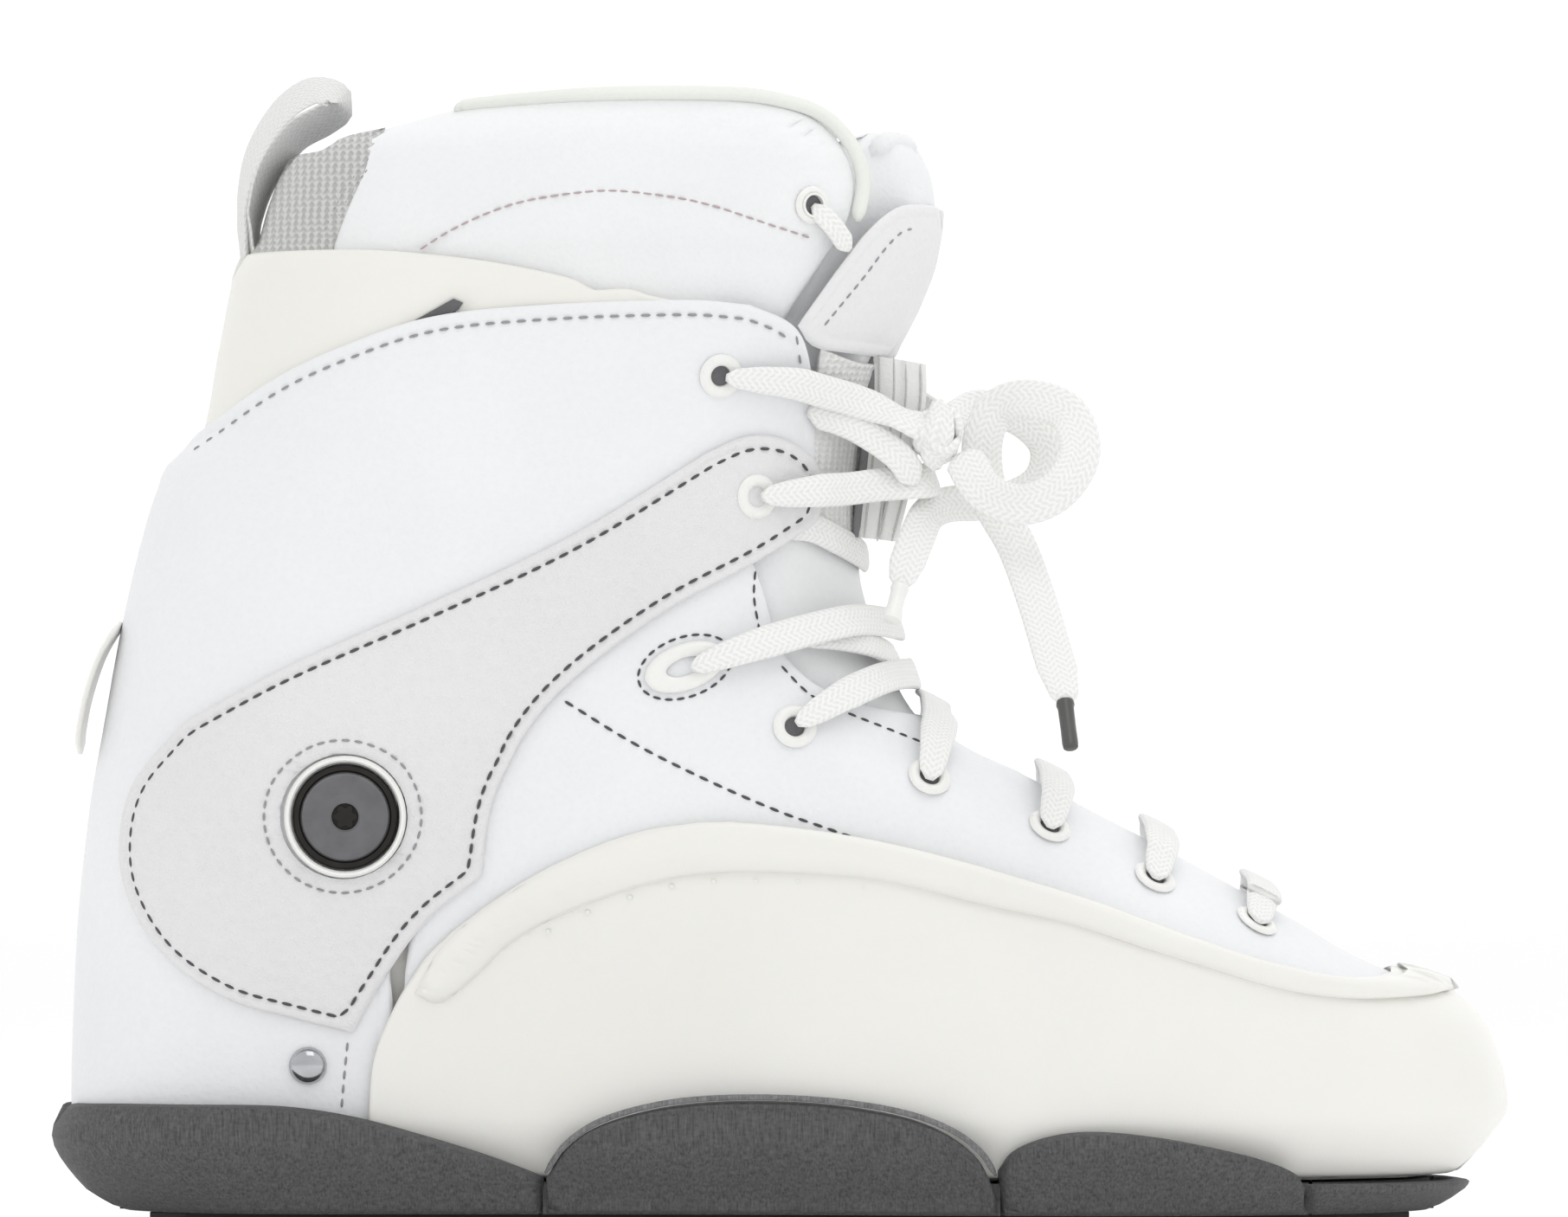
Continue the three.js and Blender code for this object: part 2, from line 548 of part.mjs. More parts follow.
add('soul_arch', soul(midPlate), CHARCOAL, 0.7);
add('soul_front', soul(frontSoul), CHARCOAL, 0.7);
add('toe_plate', soul(toePlate), CHARCOAL, 0.7);

const BLOCK_HALF = 21;
const blockShape = new THREE.Shape(corners(
  [lx(-136), -14], [lx(-128), -BLOCK_HALF], [lx(120), -BLOCK_HALF], [lx(136), -12],
  [lx(136), 12], [lx(120), BLOCK_HALF], [lx(-128), BLOCK_HALF], [lx(-136), 14],
));
const blockSlab = new THREE.ExtrudeGeometry(blockShape, { depth: BLOCK_TOP, bevelEnabled: false });
const block = drilled(toSolid(blockSlab));
add('frame_block', block, 0x2c2c2e, 0.8);

// threaded inserts for the frame bolts, dropped in from inside
[['rear', -1], ['front', 1]].forEach(([name, k]) => {
  const insert = new THREE.LatheGeometry([
    [2.6, 5], [FRAME_BOLT_R, 5], [FRAME_BOLT_R, INSIDE_Z - 1.2], [FRAME_BOLT_R, INSIDE_Z],
    [2.6, INSIDE_Z], [2.6, 5],
  ].map(([r, h]) => new THREE.Vector2(r, h)), 12);
  insert.rotateX(Math.PI / 2);
  insert.translate(k * FRAME_BOLT_SPAN / 2, 0, 0);
  add(`frame_insert_${name}`, toSolid(insert), STEEL, 0.3, 0.9);
});

// ---------- rivets ----------
for (const side of [-1, 1]) {
  const y = swing(rivetXZ[0]) + side * halfWidth(rivetXZ[0], rivetXZ[1], 0);
  const rivet = turned([
    [0, -LEATHER - 1.2], [RIVET_SHANK_R, -LEATHER - 1.2], [RIVET_SHANK_R, 0.5], [4, 0.5], [3.4, 1.7],
    [2, 2.5], [0, 2.8],
  ], rivetXZ[0], rivetXZ[1], y, side, 12);
  add(`rivet_${side < 0 ? 'lateral' : 'medial'}`, rivet, STEEL, 0.15, 1);
}

// ---------- cuff body ----------
const cuffShell = wall(CUFF_OUT, CUFF_IN, 60, TOP_Z).intersect(prism(cuffShellEdge)).intersect(cuffSide)
  .add(footEar(CUFF_IN, CUFF_OUT)).subtract(boltHoles(BOLT_SHANK_R + GAP));
add('cuff_shell', cuffShell, PLASTIC_WHITE, 0.4);

let cuffSkin = wall(0, SKIN_IN, 60, TOP_Z).intersect(prism(cuffSkinEdge)).intersect(cuffSide)
  .subtract(axisCylinder(EAR_R + 1.4, PIVOT_X, PIVOT_Z, -90, 90));
for (const side of [-1, 1]) {
  cuffSkin = cuffSkin.subtract(eyeletHole(cuffEyelets[1][0], cuffEyelets[1][1], side));
  cuffSkin = cuffSkin.subtract(eyeletHole(cuffEyelets[0][0], cuffEyelets[0][1], side, 6));
}
add('cuff_skin', cuffSkin, LEATHER_WHITE, 0.55);

for (const side of [-1, 1]) {
  const where = side < 0 ? 'lateral' : 'medial';
  const half = side < 0 ? box(-400, 400, -120, 0, -10, 400) : box(-400, 400, 0, 120, -10, 400);
  const strap = wall(STRAP_OUT, STRAP_IN, 30, 200).intersect(prism(strapEdge)).intersect(half)
    .subtract(axisCylinder(RING_OUTER_R + GAP, PIVOT_X, PIVOT_Z, -90, 90))
    .subtract(formAt(COVER_OUT + GAP, SOLE_Z - 1, 100).intersect(prism(coverEdge)))
    .subtract(eyeletHole(cuffEyelets[0][0], cuffEyelets[0][1], side, 6));
  add(`strap_${where}`, strap, STRAP_GREY, 0.6);

  const y = swing(PIVOT_X) + side * halfWidth(PIVOT_X, PIVOT_Z, 0);
  const ring = turned([
    [BOLT_HEAD_R + GAP, RING_FOOT], [RING_OUTER_R, RING_FOOT], [RING_OUTER_R, 2.9], [BOLT_HEAD_R + GAP, 3.2],
    [BOLT_HEAD_R + GAP, RING_FOOT],
  ], PIVOT_X, PIVOT_Z, y, side, 16);
  add(`pivot_ring_${where}`, ring, PLASTIC_WHITE, 0.35);
  const bolt = turned([
    [0, LINER_OUT + 1.4], [BOLT_SHANK_R, LINER_OUT + 1.4], [BOLT_SHANK_R, RING_FOOT], [BOLT_HEAD_R, RING_FOOT],
    [BOLT_HEAD_R, 1.6], [9.4, 1.9], [2.4, 1.9], [2.4, -0.2], [0, -0.2],
  ], PIVOT_X, PIVOT_Z, y, side, 16);
  add(`pivot_bolt_${where}`, bolt, 0x4c4a49, 0.35, 0.7);
}

let linerCuff = wall(CUFF_IN - 0.5, CUFF_IN - 0.5 - LINER_WALL - 2, 100, TOP_Z + 2);
linerCuff = linerCuff.intersect(prism(linerCuffEdge)).intersect(cuffSide)
  .subtract(axisCylinder(EAR_R + 3, PIVOT_X, PIVOT_Z, -90, 90))
  .subtract(formAt(TONGUE_OUT + GAP, 40, hz(TOP_Z)).subtract(formAt(TONGUE_IN - GAP, 39, hz(TOP_Z) + 1))
    .intersect(prism(tongueEdge)).intersect(box(-60, 200, -24.4, 26.4, 0, 400)));
add('liner_cuff', linerCuff, 0xf4f4f5, 0.6);

cuffEyelets.forEach(([x, z], i) => {
  for (const side of [-1, 1]) {
    const lift = i === 0 ? STRAP_OUT : 0;
    const where = side < 0 ? 'lateral' : 'medial';
    add(`eyelet_cuff_${i + 1}_${where}`, eyeletSolid(x, z, side, lift), LACE_WHITE, 0.3, 0.2);
  }
});

// heel wedge pad on the footbed
const PAD_Z = INSIDE_Z + GAP + 4 + GAP + 4 + GAP;
const heelPad = bootForm(LINER_IN - 3 * GAP, PAD_Z - 2, 60)
  .intersect(extruded(corners(
    [-200, PAD_Z], [-86, PAD_Z], [-86, PAD_Z + 1.5], [-130, PAD_Z + 6], [-200, PAD_Z + 6],
  )));
add('heel_pad', heelPad, 0x6a6d70, 0.9);

// webbing pull loop at the top of the back
const LOOP_HALF = 10;
const loopOuter = outline(
  [22, [-116.4, 212], [-117, 222], [-114.6, 233], [-108.6, 243], [-101, 247.6], [-95, 246],
    [-93.4, 242.8], [-97.6, 239.6], [-104.4, 235.6], [-110.2, 228], [-113.3, 219], [-113.9, 212]],
);
const loopInner = outline(
  [18, [-114.9, 216], [-115, 222], [-112.8, 232], [-107, 241.4], [-101, 245.6], [-96.6, 244.4],
    [-96.2, 243.2], [-99.4, 241.6], [-105.6, 238], [-111.8, 229.4], [-114.6, 221], [-114.9, 216]],
);
const pullLoop = prism(loopOuter, -LOOP_HALF - 2, LOOP_HALF - 2).subtract(prism(loopInner));
add('pull_loop', pullLoop, 0xd9d9d7, 0.9);

// ankle strap over the tongue, and its folded end
const ankleStrap = wall(0.2, -1.7, 150, 200).intersect(box(lx(8.9), 400, -90, 90, hz(150.4), hz(187.8)));
add('ankle_strap', ankleStrap, 0xd9d8d4, 0.9);
const tabEdge = outline(
  [0, [20.6, 189.4], [26.5, 188.6], [31.8, 187], [30.6, 172], [25.6, 148.8], [18.4, 149.8]],
);
const strapTab = prism(tabEdge, -19.4, -6).subtract(formAt(0.2 + GAP, hz(120), hz(TOP_Z)));
add('ankle_strap_end', strapTab, 0xd9d8d4, 0.9);

// guard plate over the heel cord
const clipEdge = outline(
  [8, [-143.4, 130.6], [-147.6, 122.4], [-150.2, 114], [-151.2, 106], [-150.8, 102]],
  [0, [-149.4, 101.6]],
  [6, [-149.4, 103], [-148.8, 112], [-146.4, 120.6], [-141, 130.6]],
);
const rearClip = prism(clipEdge, -15, 11).subtract(formAt(GAP, 60, hz(160)));
add('rear_clip', rearClip, PLASTIC_WHITE, 0.35);

// ---------- laces ----------
function tube(points, rx, ry, steps, sides = 8) {
  const path = new THREE.CatmullRomCurve3(points, false, 'centripetal');
  const ring = Array.from({ length: sides }, (_, i) => {
    const a = (i * 2 * Math.PI) / sides;
    return new THREE.Vector2(rx * Math.cos(a), ry * Math.sin(a));
  });
  return toSolid(new THREE.ExtrudeGeometry(new THREE.Shape(ring), { steps, extrudePath: path }));
}
const LACE_RISE = 3.7;
const lifted = (x, z, side, rise = LACE_RISE) => (
  onForm(lx(x), hz(z), 0, side).addScaledVector(normalAt(lx(x), hz(z), side), rise));
const crestOf = (x) => {
  let z = 60;
  while (z < 160 && section(z, 0).front > lx(x)) z += 0.5;
  return z;
};

// straight bars over the instep at the four lower pairs of eyelets
footEyelets.slice(0, 4).forEach(([x, z], i) => {
  const top = crestOf(x);
  const climb = (side) => [0, 0.45, 0.8].map((t) => lifted(x, mix(z, top, t), side));
  const crest = new THREE.Vector3(lx(x), swing(lx(x)), top + LACE_RISE - 0.4);
  let bar = tube([...climb(-1), crest, ...climb(1).reverse()], LACE_WIDTH / 2, LACE_THICK / 2, 12);
  for (const side of [-1, 1]) bar = bar.subtract(eyeletKeepOut(x, z, side));
  add(`lace_bar_${i + 1}`, bar, LACE_WHITE, 0.95);
});

// slanting crossings round the ankle
const STRAND_R = 1.9;
const crossing = (start, way, mid) => {
  const run = (side) => way.map(([x, z]) => lifted(x, z, side, start[2]));
  const ends = (side) => lifted(start[0], start[1], side, start[2]);
  return tube([ends(-1), ...run(-1), ...mid, ...run(1).reverse(), ends(1)], STRAND_R, STRAND_R, 16);
};
const spot = (x, y, z) => new THREE.Vector3(lx(x), y, hz(z));
[
  crossing([3.2, 109.2, 3.9], [[12, 114], [20, 117.6]], [spot(29, -1.5, 120.4)]),
  crossing([-19, 121.6, 4.2], [[-8, 125], [4, 128.4], [14, 130.6]], [spot(25.6, -2, 131)]),
  crossing([-6, 158.6, 6.2], [[4, 160], [10, 160.6]], [
    spot(22, -27, 161.2), spot(31.4, -23.4, 161.8), spot(32.6, -10, 162.6), spot(25, 13, 161.6),
  ]),
  crossing([-12.7, 184.4, 3.9], [[0, 183.4], [8, 182.8]], [
    spot(24, -28, 182.2), spot(34, -24, 182), spot(36, -12, 180.6), spot(26, 14, 180.6),
  ]),
].forEach((solid, i) => add(`lace_crossing_${i + 1}`, solid, LACE_WHITE, 0.95));

// the bow: a knot, two loops that run on into the loose ends, and the aglets
const KNOT = spot(33.8, -25.2, 172);
const knotBall = new THREE.SphereGeometry(1, 10, 8);
knotBall.scale(4.4, 5.4, 7.9 * SHAFT_SCALE);
knotBall.translate(KNOT.x, KNOT.y, KNOT.z);
add('lace_knot', toSolid(knotBall), LACE_WHITE, 0.95);
const CORD_R = 2.5;
const bowA = [
  [39, -27, 168], [44, -33, 159.8], [52, -37, 156.8], [60, -37, 160], [64.6, -34, 168],
  [62, -30, 176.4], [54, -26, 179.6], [47.4, -22.4, 178],
  [44, -21.4, 172], [43.8, -21, 164], [46, -21.4, 157], [51, -25.6, 148],
  [55, -33.4, 137], [58.2, -42, 126], [60.6, -49.8, 117.4], [61.1, -52.4, 114],
].map((p) => spot(...p));
const bowB = [
  [37.4, -19.4, 175], [43.2, -11.8, 178], [52, -9.4, 175.6], [57.6, -8, 169.6], [56.4, -8, 162.6],
  [50, -9.4, 158.4], [43, -11.4, 157.4], [36.4, -15.4, 157], [32, -22, 154.8], [29.6, -29, 150],
  [27.3, -34, 144], [25.8, -36.8, 138.8],
].map((p) => spot(...p));
const AGLET_R = 1.7;
function aglet(end, before, length) {
  const way = end.clone().sub(before).normalize();
  const rod = new THREE.CylinderGeometry(AGLET_R, AGLET_R, length, 10);
  rod.applyQuaternion(new THREE.Quaternion().setFromUnitVectors(new THREE.Vector3(0, 1, 0), way));
  const at = end.clone().addScaledVector(way, length / 2 + 0.3);
  rod.translate(at.x, at.y, at.z);
  return toSolid(rod);
}
add('lace_end_lateral', tube(bowA, CORD_R, CORD_R, 40), LACE_WHITE, 0.95);
add('lace_end_medial', tube(bowB, CORD_R, CORD_R, 30), LACE_WHITE, 0.95);
add('aglet_lateral', aglet(bowA[15], bowA[14], 11.5), 0x9a9a98, 0.3);
add('aglet_medial', aglet(bowB[11], bowB[10], 8), 0xe8e8e4, 0.3);

const group = new THREE.Group();
parts.forEach((mesh) => group.add(mesh));
export default group;
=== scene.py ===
"""Aggressive inline skate boot, right foot, dressed over its CAD frame. Metres, +X toe, +Z up."""
import json
import math
import bmesh
import bpy
import numpy as np
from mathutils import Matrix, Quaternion, Vector
from mathutils.geometry import delaunay_2d_cdt


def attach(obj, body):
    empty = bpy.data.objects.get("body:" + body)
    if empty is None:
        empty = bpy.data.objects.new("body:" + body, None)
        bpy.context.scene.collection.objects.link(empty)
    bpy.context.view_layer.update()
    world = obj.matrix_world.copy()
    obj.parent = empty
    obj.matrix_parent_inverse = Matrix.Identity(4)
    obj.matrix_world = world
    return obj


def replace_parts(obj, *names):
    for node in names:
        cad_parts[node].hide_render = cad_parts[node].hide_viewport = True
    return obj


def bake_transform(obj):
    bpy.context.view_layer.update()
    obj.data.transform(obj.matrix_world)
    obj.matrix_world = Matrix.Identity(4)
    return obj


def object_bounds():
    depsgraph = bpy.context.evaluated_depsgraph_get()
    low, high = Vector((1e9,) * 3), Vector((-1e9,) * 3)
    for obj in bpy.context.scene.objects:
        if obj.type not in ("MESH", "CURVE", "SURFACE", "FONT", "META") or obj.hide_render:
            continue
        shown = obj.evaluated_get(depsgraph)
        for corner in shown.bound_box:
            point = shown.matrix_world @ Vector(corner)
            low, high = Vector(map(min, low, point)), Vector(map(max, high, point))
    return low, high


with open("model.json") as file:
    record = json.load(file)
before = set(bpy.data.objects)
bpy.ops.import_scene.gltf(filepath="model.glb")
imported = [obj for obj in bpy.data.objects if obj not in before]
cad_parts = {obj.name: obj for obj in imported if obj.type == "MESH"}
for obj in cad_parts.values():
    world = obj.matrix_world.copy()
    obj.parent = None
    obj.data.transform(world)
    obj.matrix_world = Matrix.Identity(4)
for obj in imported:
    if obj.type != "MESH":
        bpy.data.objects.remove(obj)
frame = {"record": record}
CAD_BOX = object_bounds()
MM = 0.001
PIVOT = Vector(frame["record"]["behaviour"]["joints"][0]["pos_m"]) / MM     # mm, as all shaping below
SIDES = ((-1, "lateral"), (1, "medial"))

# ------------------------------------------------------------------ the form of the boot (mm)
HEEL_HALF, BALL_HALF, ANKLE_HALF, COLLAR_HALF = 38, 54, 46, 49
TOE_SWING, TOE_X, WIDEST_X = 4, 155.2, 82
BACK = [(10, -148.5), (20, -152), (28, -153.4), (60, -152.4), (90, -149.6), (110, -146.2),
        (130, -142.6), (150, -138), (165, -133), (168.5, -129.5), (173, -126.4), (190, -123.2),
        (211, -118.4), (213, -116.6), (221, -114.2), (229, -111), (234, -107.6), (237.5, -101),
        (241, -92), (246, -80)]
FRONT = [(10, 142), (20, 151), (27, 155.2), (34, 154.4), (42, 151.2), (48, 146.4), (52, 141),
         (55, 134.5), (58, 127), (62, 119.6), (68, 110.2), (75, 97.6), (82, 85), (90, 69.6),
         (98, 54.5), (105, 39.5), (112, 31.5), (120, 26.4), (130, 22.2), (142, 19), (155, 18.2),
         (170, 19.4), (180, 21.4), (190, 25.4), (200, 30.4), (210, 34), (220, 35.4), (230, 34),
         (238, 29.5), (246, 22)]
FOOT_HALF = [(-150, HEEL_HALF - 2), (-112, HEEL_HALF), (-60, HEEL_HALF - 1.5), (-20, HEEL_HALF + 2),
             (30, BALL_HALF - 4.5), (68, BALL_HALF), (100, BALL_HALF - 0.5), (150, BALL_HALF - 3)]
SHAFT_HALF = [(70, ANKLE_HALF), (100, ANKLE_HALF), (130, ANKLE_HALF - 1.6), (165, ANKLE_HALF - 1),
              (200, ANKLE_HALF + 1), (232, COLLAR_HALF), (246, COLLAR_HALF - 5)]
NOSE_LENGTH = [(12, 66), (48, 74), (62, 46), (100, 44), (130, 52), (246, 60)]
NOSE_POWER = [(12, 2.2), (48, 2.2), (62, 2.6), (110, 2.6), (135, 2.1), (246, 2)]
TAIL_LENGTH = [(12, 42), (60, 44), (110, 50), (150, 58), (246, 64)]
TAIL_POWER = 2.1
LAYERS = {                                   # inner face and thickness of each sheet, from the form
    "leather": (-1.5, 1.5), "strap": (0.4, 1.6), "plate": (0.35, 2.2), "brim": (1.6, 2.2),
    "cuff": (-3.95, 2.3), "notch_shade": (-1.9, 0.45), "collar": (-10.6, 6.2), "knit": (-4.6, 1.3),
    "sock": (-11.9, 4.4), "tongue": (-11, 8.6), "over_tongue": (-1.7, 1.9), "soul": (-7.0, 7.0),
}
SOUL_BACK = [(4, -142), (10, -151), (21, -157.4), (28.5, -155), (40, -155)]
SOUL_FRONT = [(4, 141), (11, 149.6), (30, 149.6)]
SOUL_HALF = [(-156, 40), (-120, 45.5), (-50, 46), (-5, 49.5), (45, 59), (80, 61.5), (110, 60), (150, 54)]


def smooth(a, b, v):
    """0 below a, 1 above b, eased between."""
    t = np.clip((np.asarray(v, float) - a) / (b - a), 0, 1)
    return t * t * (3 - 2 * t)


def along(stations, v):
    """Piecewise cubic through (at, value) stations, with flat tangents at turning points."""
    xs = np.array([s[0] for s in stations], float)
    ys = np.array([s[1] for s in stations], float)
    slope = np.diff(ys) / np.diff(xs)
    tangent = np.empty_like(ys)
    tangent[0], tangent[-1] = slope[0], slope[-1]
    a, b = slope[:-1], slope[1:]
    with np.errstate(divide="ignore", invalid="ignore"):
        tangent[1:-1] = np.where(a * b <= 0, 0, 2 * a * b / (a + b))
    v = np.clip(np.asarray(v, float), xs[0], xs[-1])
    i = np.clip(np.searchsorted(xs, v, side="right") - 1, 0, len(xs) - 2)
    h = xs[i + 1] - xs[i]
    t = (v - xs[i]) / h
    return ((2 * t**3 - 3 * t**2 + 1) * ys[i] + (t**3 - 2 * t**2 + t) * h * tangent[i]
            + (3 * t**2 - 2 * t**3) * ys[i + 1] + (t**3 - t**2) * h * tangent[i + 1])


def swing(x):
    """How far the middle line bows sideways at x."""
    return TOE_SWING * (smooth(-20, TOE_X, x) - smooth(-20, TOE_X, WIDEST_X))


def cap(reach, length, power):
    """Share of the full width at a reach from a rounded end of the given length."""
    u = 1 - np.clip(reach / length, 0, 1)
    return np.maximum(1 - u**power, 0) ** (1 / power)


class Form:
    """A body of rounded sections stacked in height, known at any offset d from its skin."""

    def __init__(self, back, front, nose, power, tail, wide, lifts=True):
        self.back, self.front, self.nose, self.power, self.tail = back, front, nose, power, tail
        self.wide, self.lifts = wide, lifts
        self.rows = np.arange(4, 250, 1.0)
        self.turns = np.linspace(0, math.pi, 361)
        self.round = np.array([self.lengths_at(z) for z in self.rows])
        lean = np.gradient(along(front, self.rows), self.rows)
        steps = np.sqrt(1 + (0.45 * np.clip(lean, -6, 1)[1:]) ** 2)
        self.climb = np.concatenate([[0], np.cumsum(steps)])

    def lengths_at(self, z):
        row = self.on_turn(self.turns, np.full_like(self.turns, z), 0.0, 1)[:, :2]
        return np.concatenate([[0], np.cumsum(np.hypot(*np.diff(row, axis=0).T))])

    def section(self, z, d):
        z = np.asarray(z, float)
        lift = 0.6 * smooth(34, 48, z) * (1 - smooth(112, 132, z)) if self.lifts else 0
        level = z - d * lift
        return level, along(self.back, level) - d, along(self.front, level) + d

    def half(self, x, z, d):
        level, back, front = self.section(z, d)
        nose, tail = along(self.nose, level) + d, along(self.tail, level) + d
        return (self.wide(x, level) + d) * cap(x - back, tail, TAIL_POWER) * cap(
            front - x, nose, along(self.power, level))

    def on_turn(self, turn, z, d, side):
        """Points at d by turn (0 toe, pi heel), height and side (-1 lateral, +1 medial)."""
        _, back, front = self.section(z, d)
        x = (front + back) / 2 + (front - back) / 2 * np.cos(turn)
        y = swing(x) + side * self.half(x, z, d)
        return np.stack([x, y, np.broadcast_to(z, np.shape(x))], -1)

    def turn_of(self, x, z):
        _, back, front = self.section(z, 0)
        return np.arccos(np.clip((x - (front + back) / 2) / ((front - back) / 2), -1, 1))

    def on_side(self, x, z, d, side):
        """The point at d above the side-view place (x, z)."""
        return self.on_turn(self.turn_of(x, z), z, d, side)

    def to_map(self, x, z, side, home):
        """Side-view places to the even map, run round the section by climb."""
        x, z = np.asarray(x, float), np.asarray(z, float)
        row = np.clip(z - self.rows[0], 0, len(self.rows) - 1.001)
        i = row.astype(int)
        f = row - i
        col = self.turn_of(x, z) / math.pi * (len(self.turns) - 1)
        j = np.clip(col.astype(int), 0, len(self.turns) - 2)
        g = col - j
        r = self.round
        run = (r[i, j] * (1 - f) + r[i + 1, j] * f) * (1 - g) + (
            r[i, j + 1] * (1 - f) + r[i + 1, j + 1] * f) * g
        if home == "heel":
            run = r[i, -1] * (1 - f) + r[i + 1, -1] * f - run
        return np.stack([run * side, np.interp(z, self.rows, self.climb)], -1)

    def from_map(self, points, d, home):
        """Even-map points to positions on the layer at d (an array of offsets)."""
        points = np.asarray(points, float)
        z = np.interp(points[:, 1], self.climb, self.rows)
        side = np.where(points[:, 0] < 0, -1.0, 1.0)
        row = np.clip(z - self.rows[0], 0, len(self.rows) - 1.001)
        i = row.astype(int)
        f = row - i
        turn = np.empty(len(points))
        for k in range(len(points)):
            lengths = self.round[i[k]] * (1 - f[k]) + self.round[i[k] + 1] * f[k]
            run = abs(points[k, 0])
            turn[k] = np.interp(lengths[-1] - run if home == "heel" else run, lengths, self.turns)
        return self.on_turn(turn, z, np.asarray(d, float), side)


def boot_wide(x, level):
    foot = along(FOOT_HALF, x)
    wide = foot + (along(SHAFT_HALF, level) - foot) * smooth(34, 96, level)
    return wide * (1 - 0.1 * (1 - smooth(10, 26, level)))


def soul_wide(x, level):
    return along(SOUL_HALF, x) - 7 * (1 - smooth(4, 22, level))


BOOT = Form(BACK, FRONT, NOSE_LENGTH, NOSE_POWER, TAIL_LENGTH, boot_wide)
SOUL = Form(SOUL_BACK, SOUL_FRONT, [(0, 62), (250, 62)], [(0, 2.2), (250, 2.2)],
            [(0, 46), (250, 46)], soul_wide, lifts=False)


def side_frame(x, z, side, d=0.0, form=None):
    """Point, outward normal and forward direction of the layer at a side-view place."""
    form = form or BOOT
    p = form.on_side(x, z, d, side)
    ax = form.on_side(x + 0.6, z, d, side) - form.on_side(x - 0.6, z, d, side)
    az = form.on_side(x, z + 0.6, d, side) - form.on_side(x, z - 0.6, d, side)
    n = Vector(np.cross(ax, az)).normalized()
    if n.y * side < 0:
        n.negate()
    return Vector(p), n, Vector(ax).normalized()


# ------------------------------------------------------------------ small helpers
def spline(points, count):
    """A Catmull-Rom run through points, evenly resampled."""
    p = np.asarray(points, float)
    p = np.vstack([2 * p[0] - p[1], p, 2 * p[-1] - p[-2]])
    out = []
    for k in range(1, len(p) - 2):
        t = np.linspace(0, 1, 24, endpoint=False)[:, None]
        a, b, c, e = p[k - 1], p[k], p[k + 1], p[k + 2]
        out.append(0.5 * (2 * b + (c - a) * t + (2 * a - 5 * b + 4 * c - e) * t**2
                          + (3 * b - a - 3 * c + e) * t**3))
    return resample(np.vstack(out + [p[-2][None]]), count)


def resample(line, count):
    line = np.asarray(line, float)
    run = np.concatenate([[0], np.cumsum(np.linalg.norm(np.diff(line, axis=0), axis=1))])
    at = np.linspace(0, run[-1], count)
    return np.stack([np.interp(at, run, line[:, k]) for k in range(line.shape[1])], -1)


def length_of(line):
    return float(np.linalg.norm(np.diff(np.asarray(line), axis=0), axis=1).sum())


def gap_to(line, p):
    """Side-view distance of form points p to a drawn line, by every other point of it."""
    gap = np.full(len(p), 99.0)
    for x, z in line[::2]:
        gap = np.minimum(gap, np.hypot(p[:, 0] - x, p[:, 2] - z))
    return gap


def front_at(z):
    return float(along(FRONT, z))


def back_at(z):
    return float(along(BACK, z))


def outline(*runs):
    """Runs of side-view points: (smooth?, points...); runs meet in corners."""
    out = []
    for curved, *points in runs:
        p = np.array(points, float)
        n = max(3, int(length_of(p) / 1.6))
        line = spline(p, n) if curved and len(p) > 2 else resample(p, n)
        out.append(line if not out or np.linalg.norm(out[-1][-1] - line[0]) > 0.2 else line[1:])
    line = np.vstack(out)
    keep = np.linalg.norm(line - np.roll(line, -1, axis=0), axis=1) > 0.15
    return line[keep]


def make(name, verts, faces, material, body=None, split=None, run=None):
    """A named mesh from millimetre points; run holds (along, across) for a woven ribbon."""
    mesh = bpy.data.meshes.new(name)
    mesh.from_pydata([tuple(float(c) * MM for c in v) for v in verts], [], faces)
    if run is not None:
        mesh.attributes.new("run", "FLOAT_VECTOR", "POINT")
        mesh.attributes["run"].data.foreach_set("vector", np.asarray(run, float).ravel())
    mesh.validate()
    bm = bmesh.new()
    bm.from_mesh(mesh)
    bmesh.ops.remove_doubles(bm, verts=bm.verts, dist=1e-6)
    bmesh.ops.recalc_face_normals(bm, faces=bm.faces)
    bm.to_mesh(mesh)
    bm.free()
    for face in mesh.polygons:
        face.use_smooth = True
    obj = bpy.data.objects.new(name, mesh)
    bpy.context.scene.collection.objects.link(obj)
    mesh.materials.append(material)
    if split:
        sharp = obj.modifiers.new("edges", "EDGE_SPLIT")
        sharp.split_angle = math.radians(split)
    if body:
        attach(obj, body)
    return obj


def tube_faces(rings, sides, start=0):
    """Faces of a tube of point rings, one after another, with a cap at each end."""
    faces = []
    for q in range(start, start + (rings - 1) * sides, sides):
        for m in range(sides):
            w = (m + 1) % sides
            faces.append((q + m, q + w, q + sides + w, q + sides + m))
    last = start + (rings - 1) * sides
    return faces + [tuple(start + m for m in reversed(range(sides))), tuple(last + m for m in range(sides))]


def turned_faces(steps, n, closed=True):
    """Faces of a section of n points carried round in steps and back to its start."""
    faces = []
    for k in range(steps):
        q, w = k * n, (k + 1) % steps * n
        for m in range(n if closed else n - 1):
            faces.append((q + m, w + m, w + (m + 1) % n, q + (m + 1) % n))
    return faces


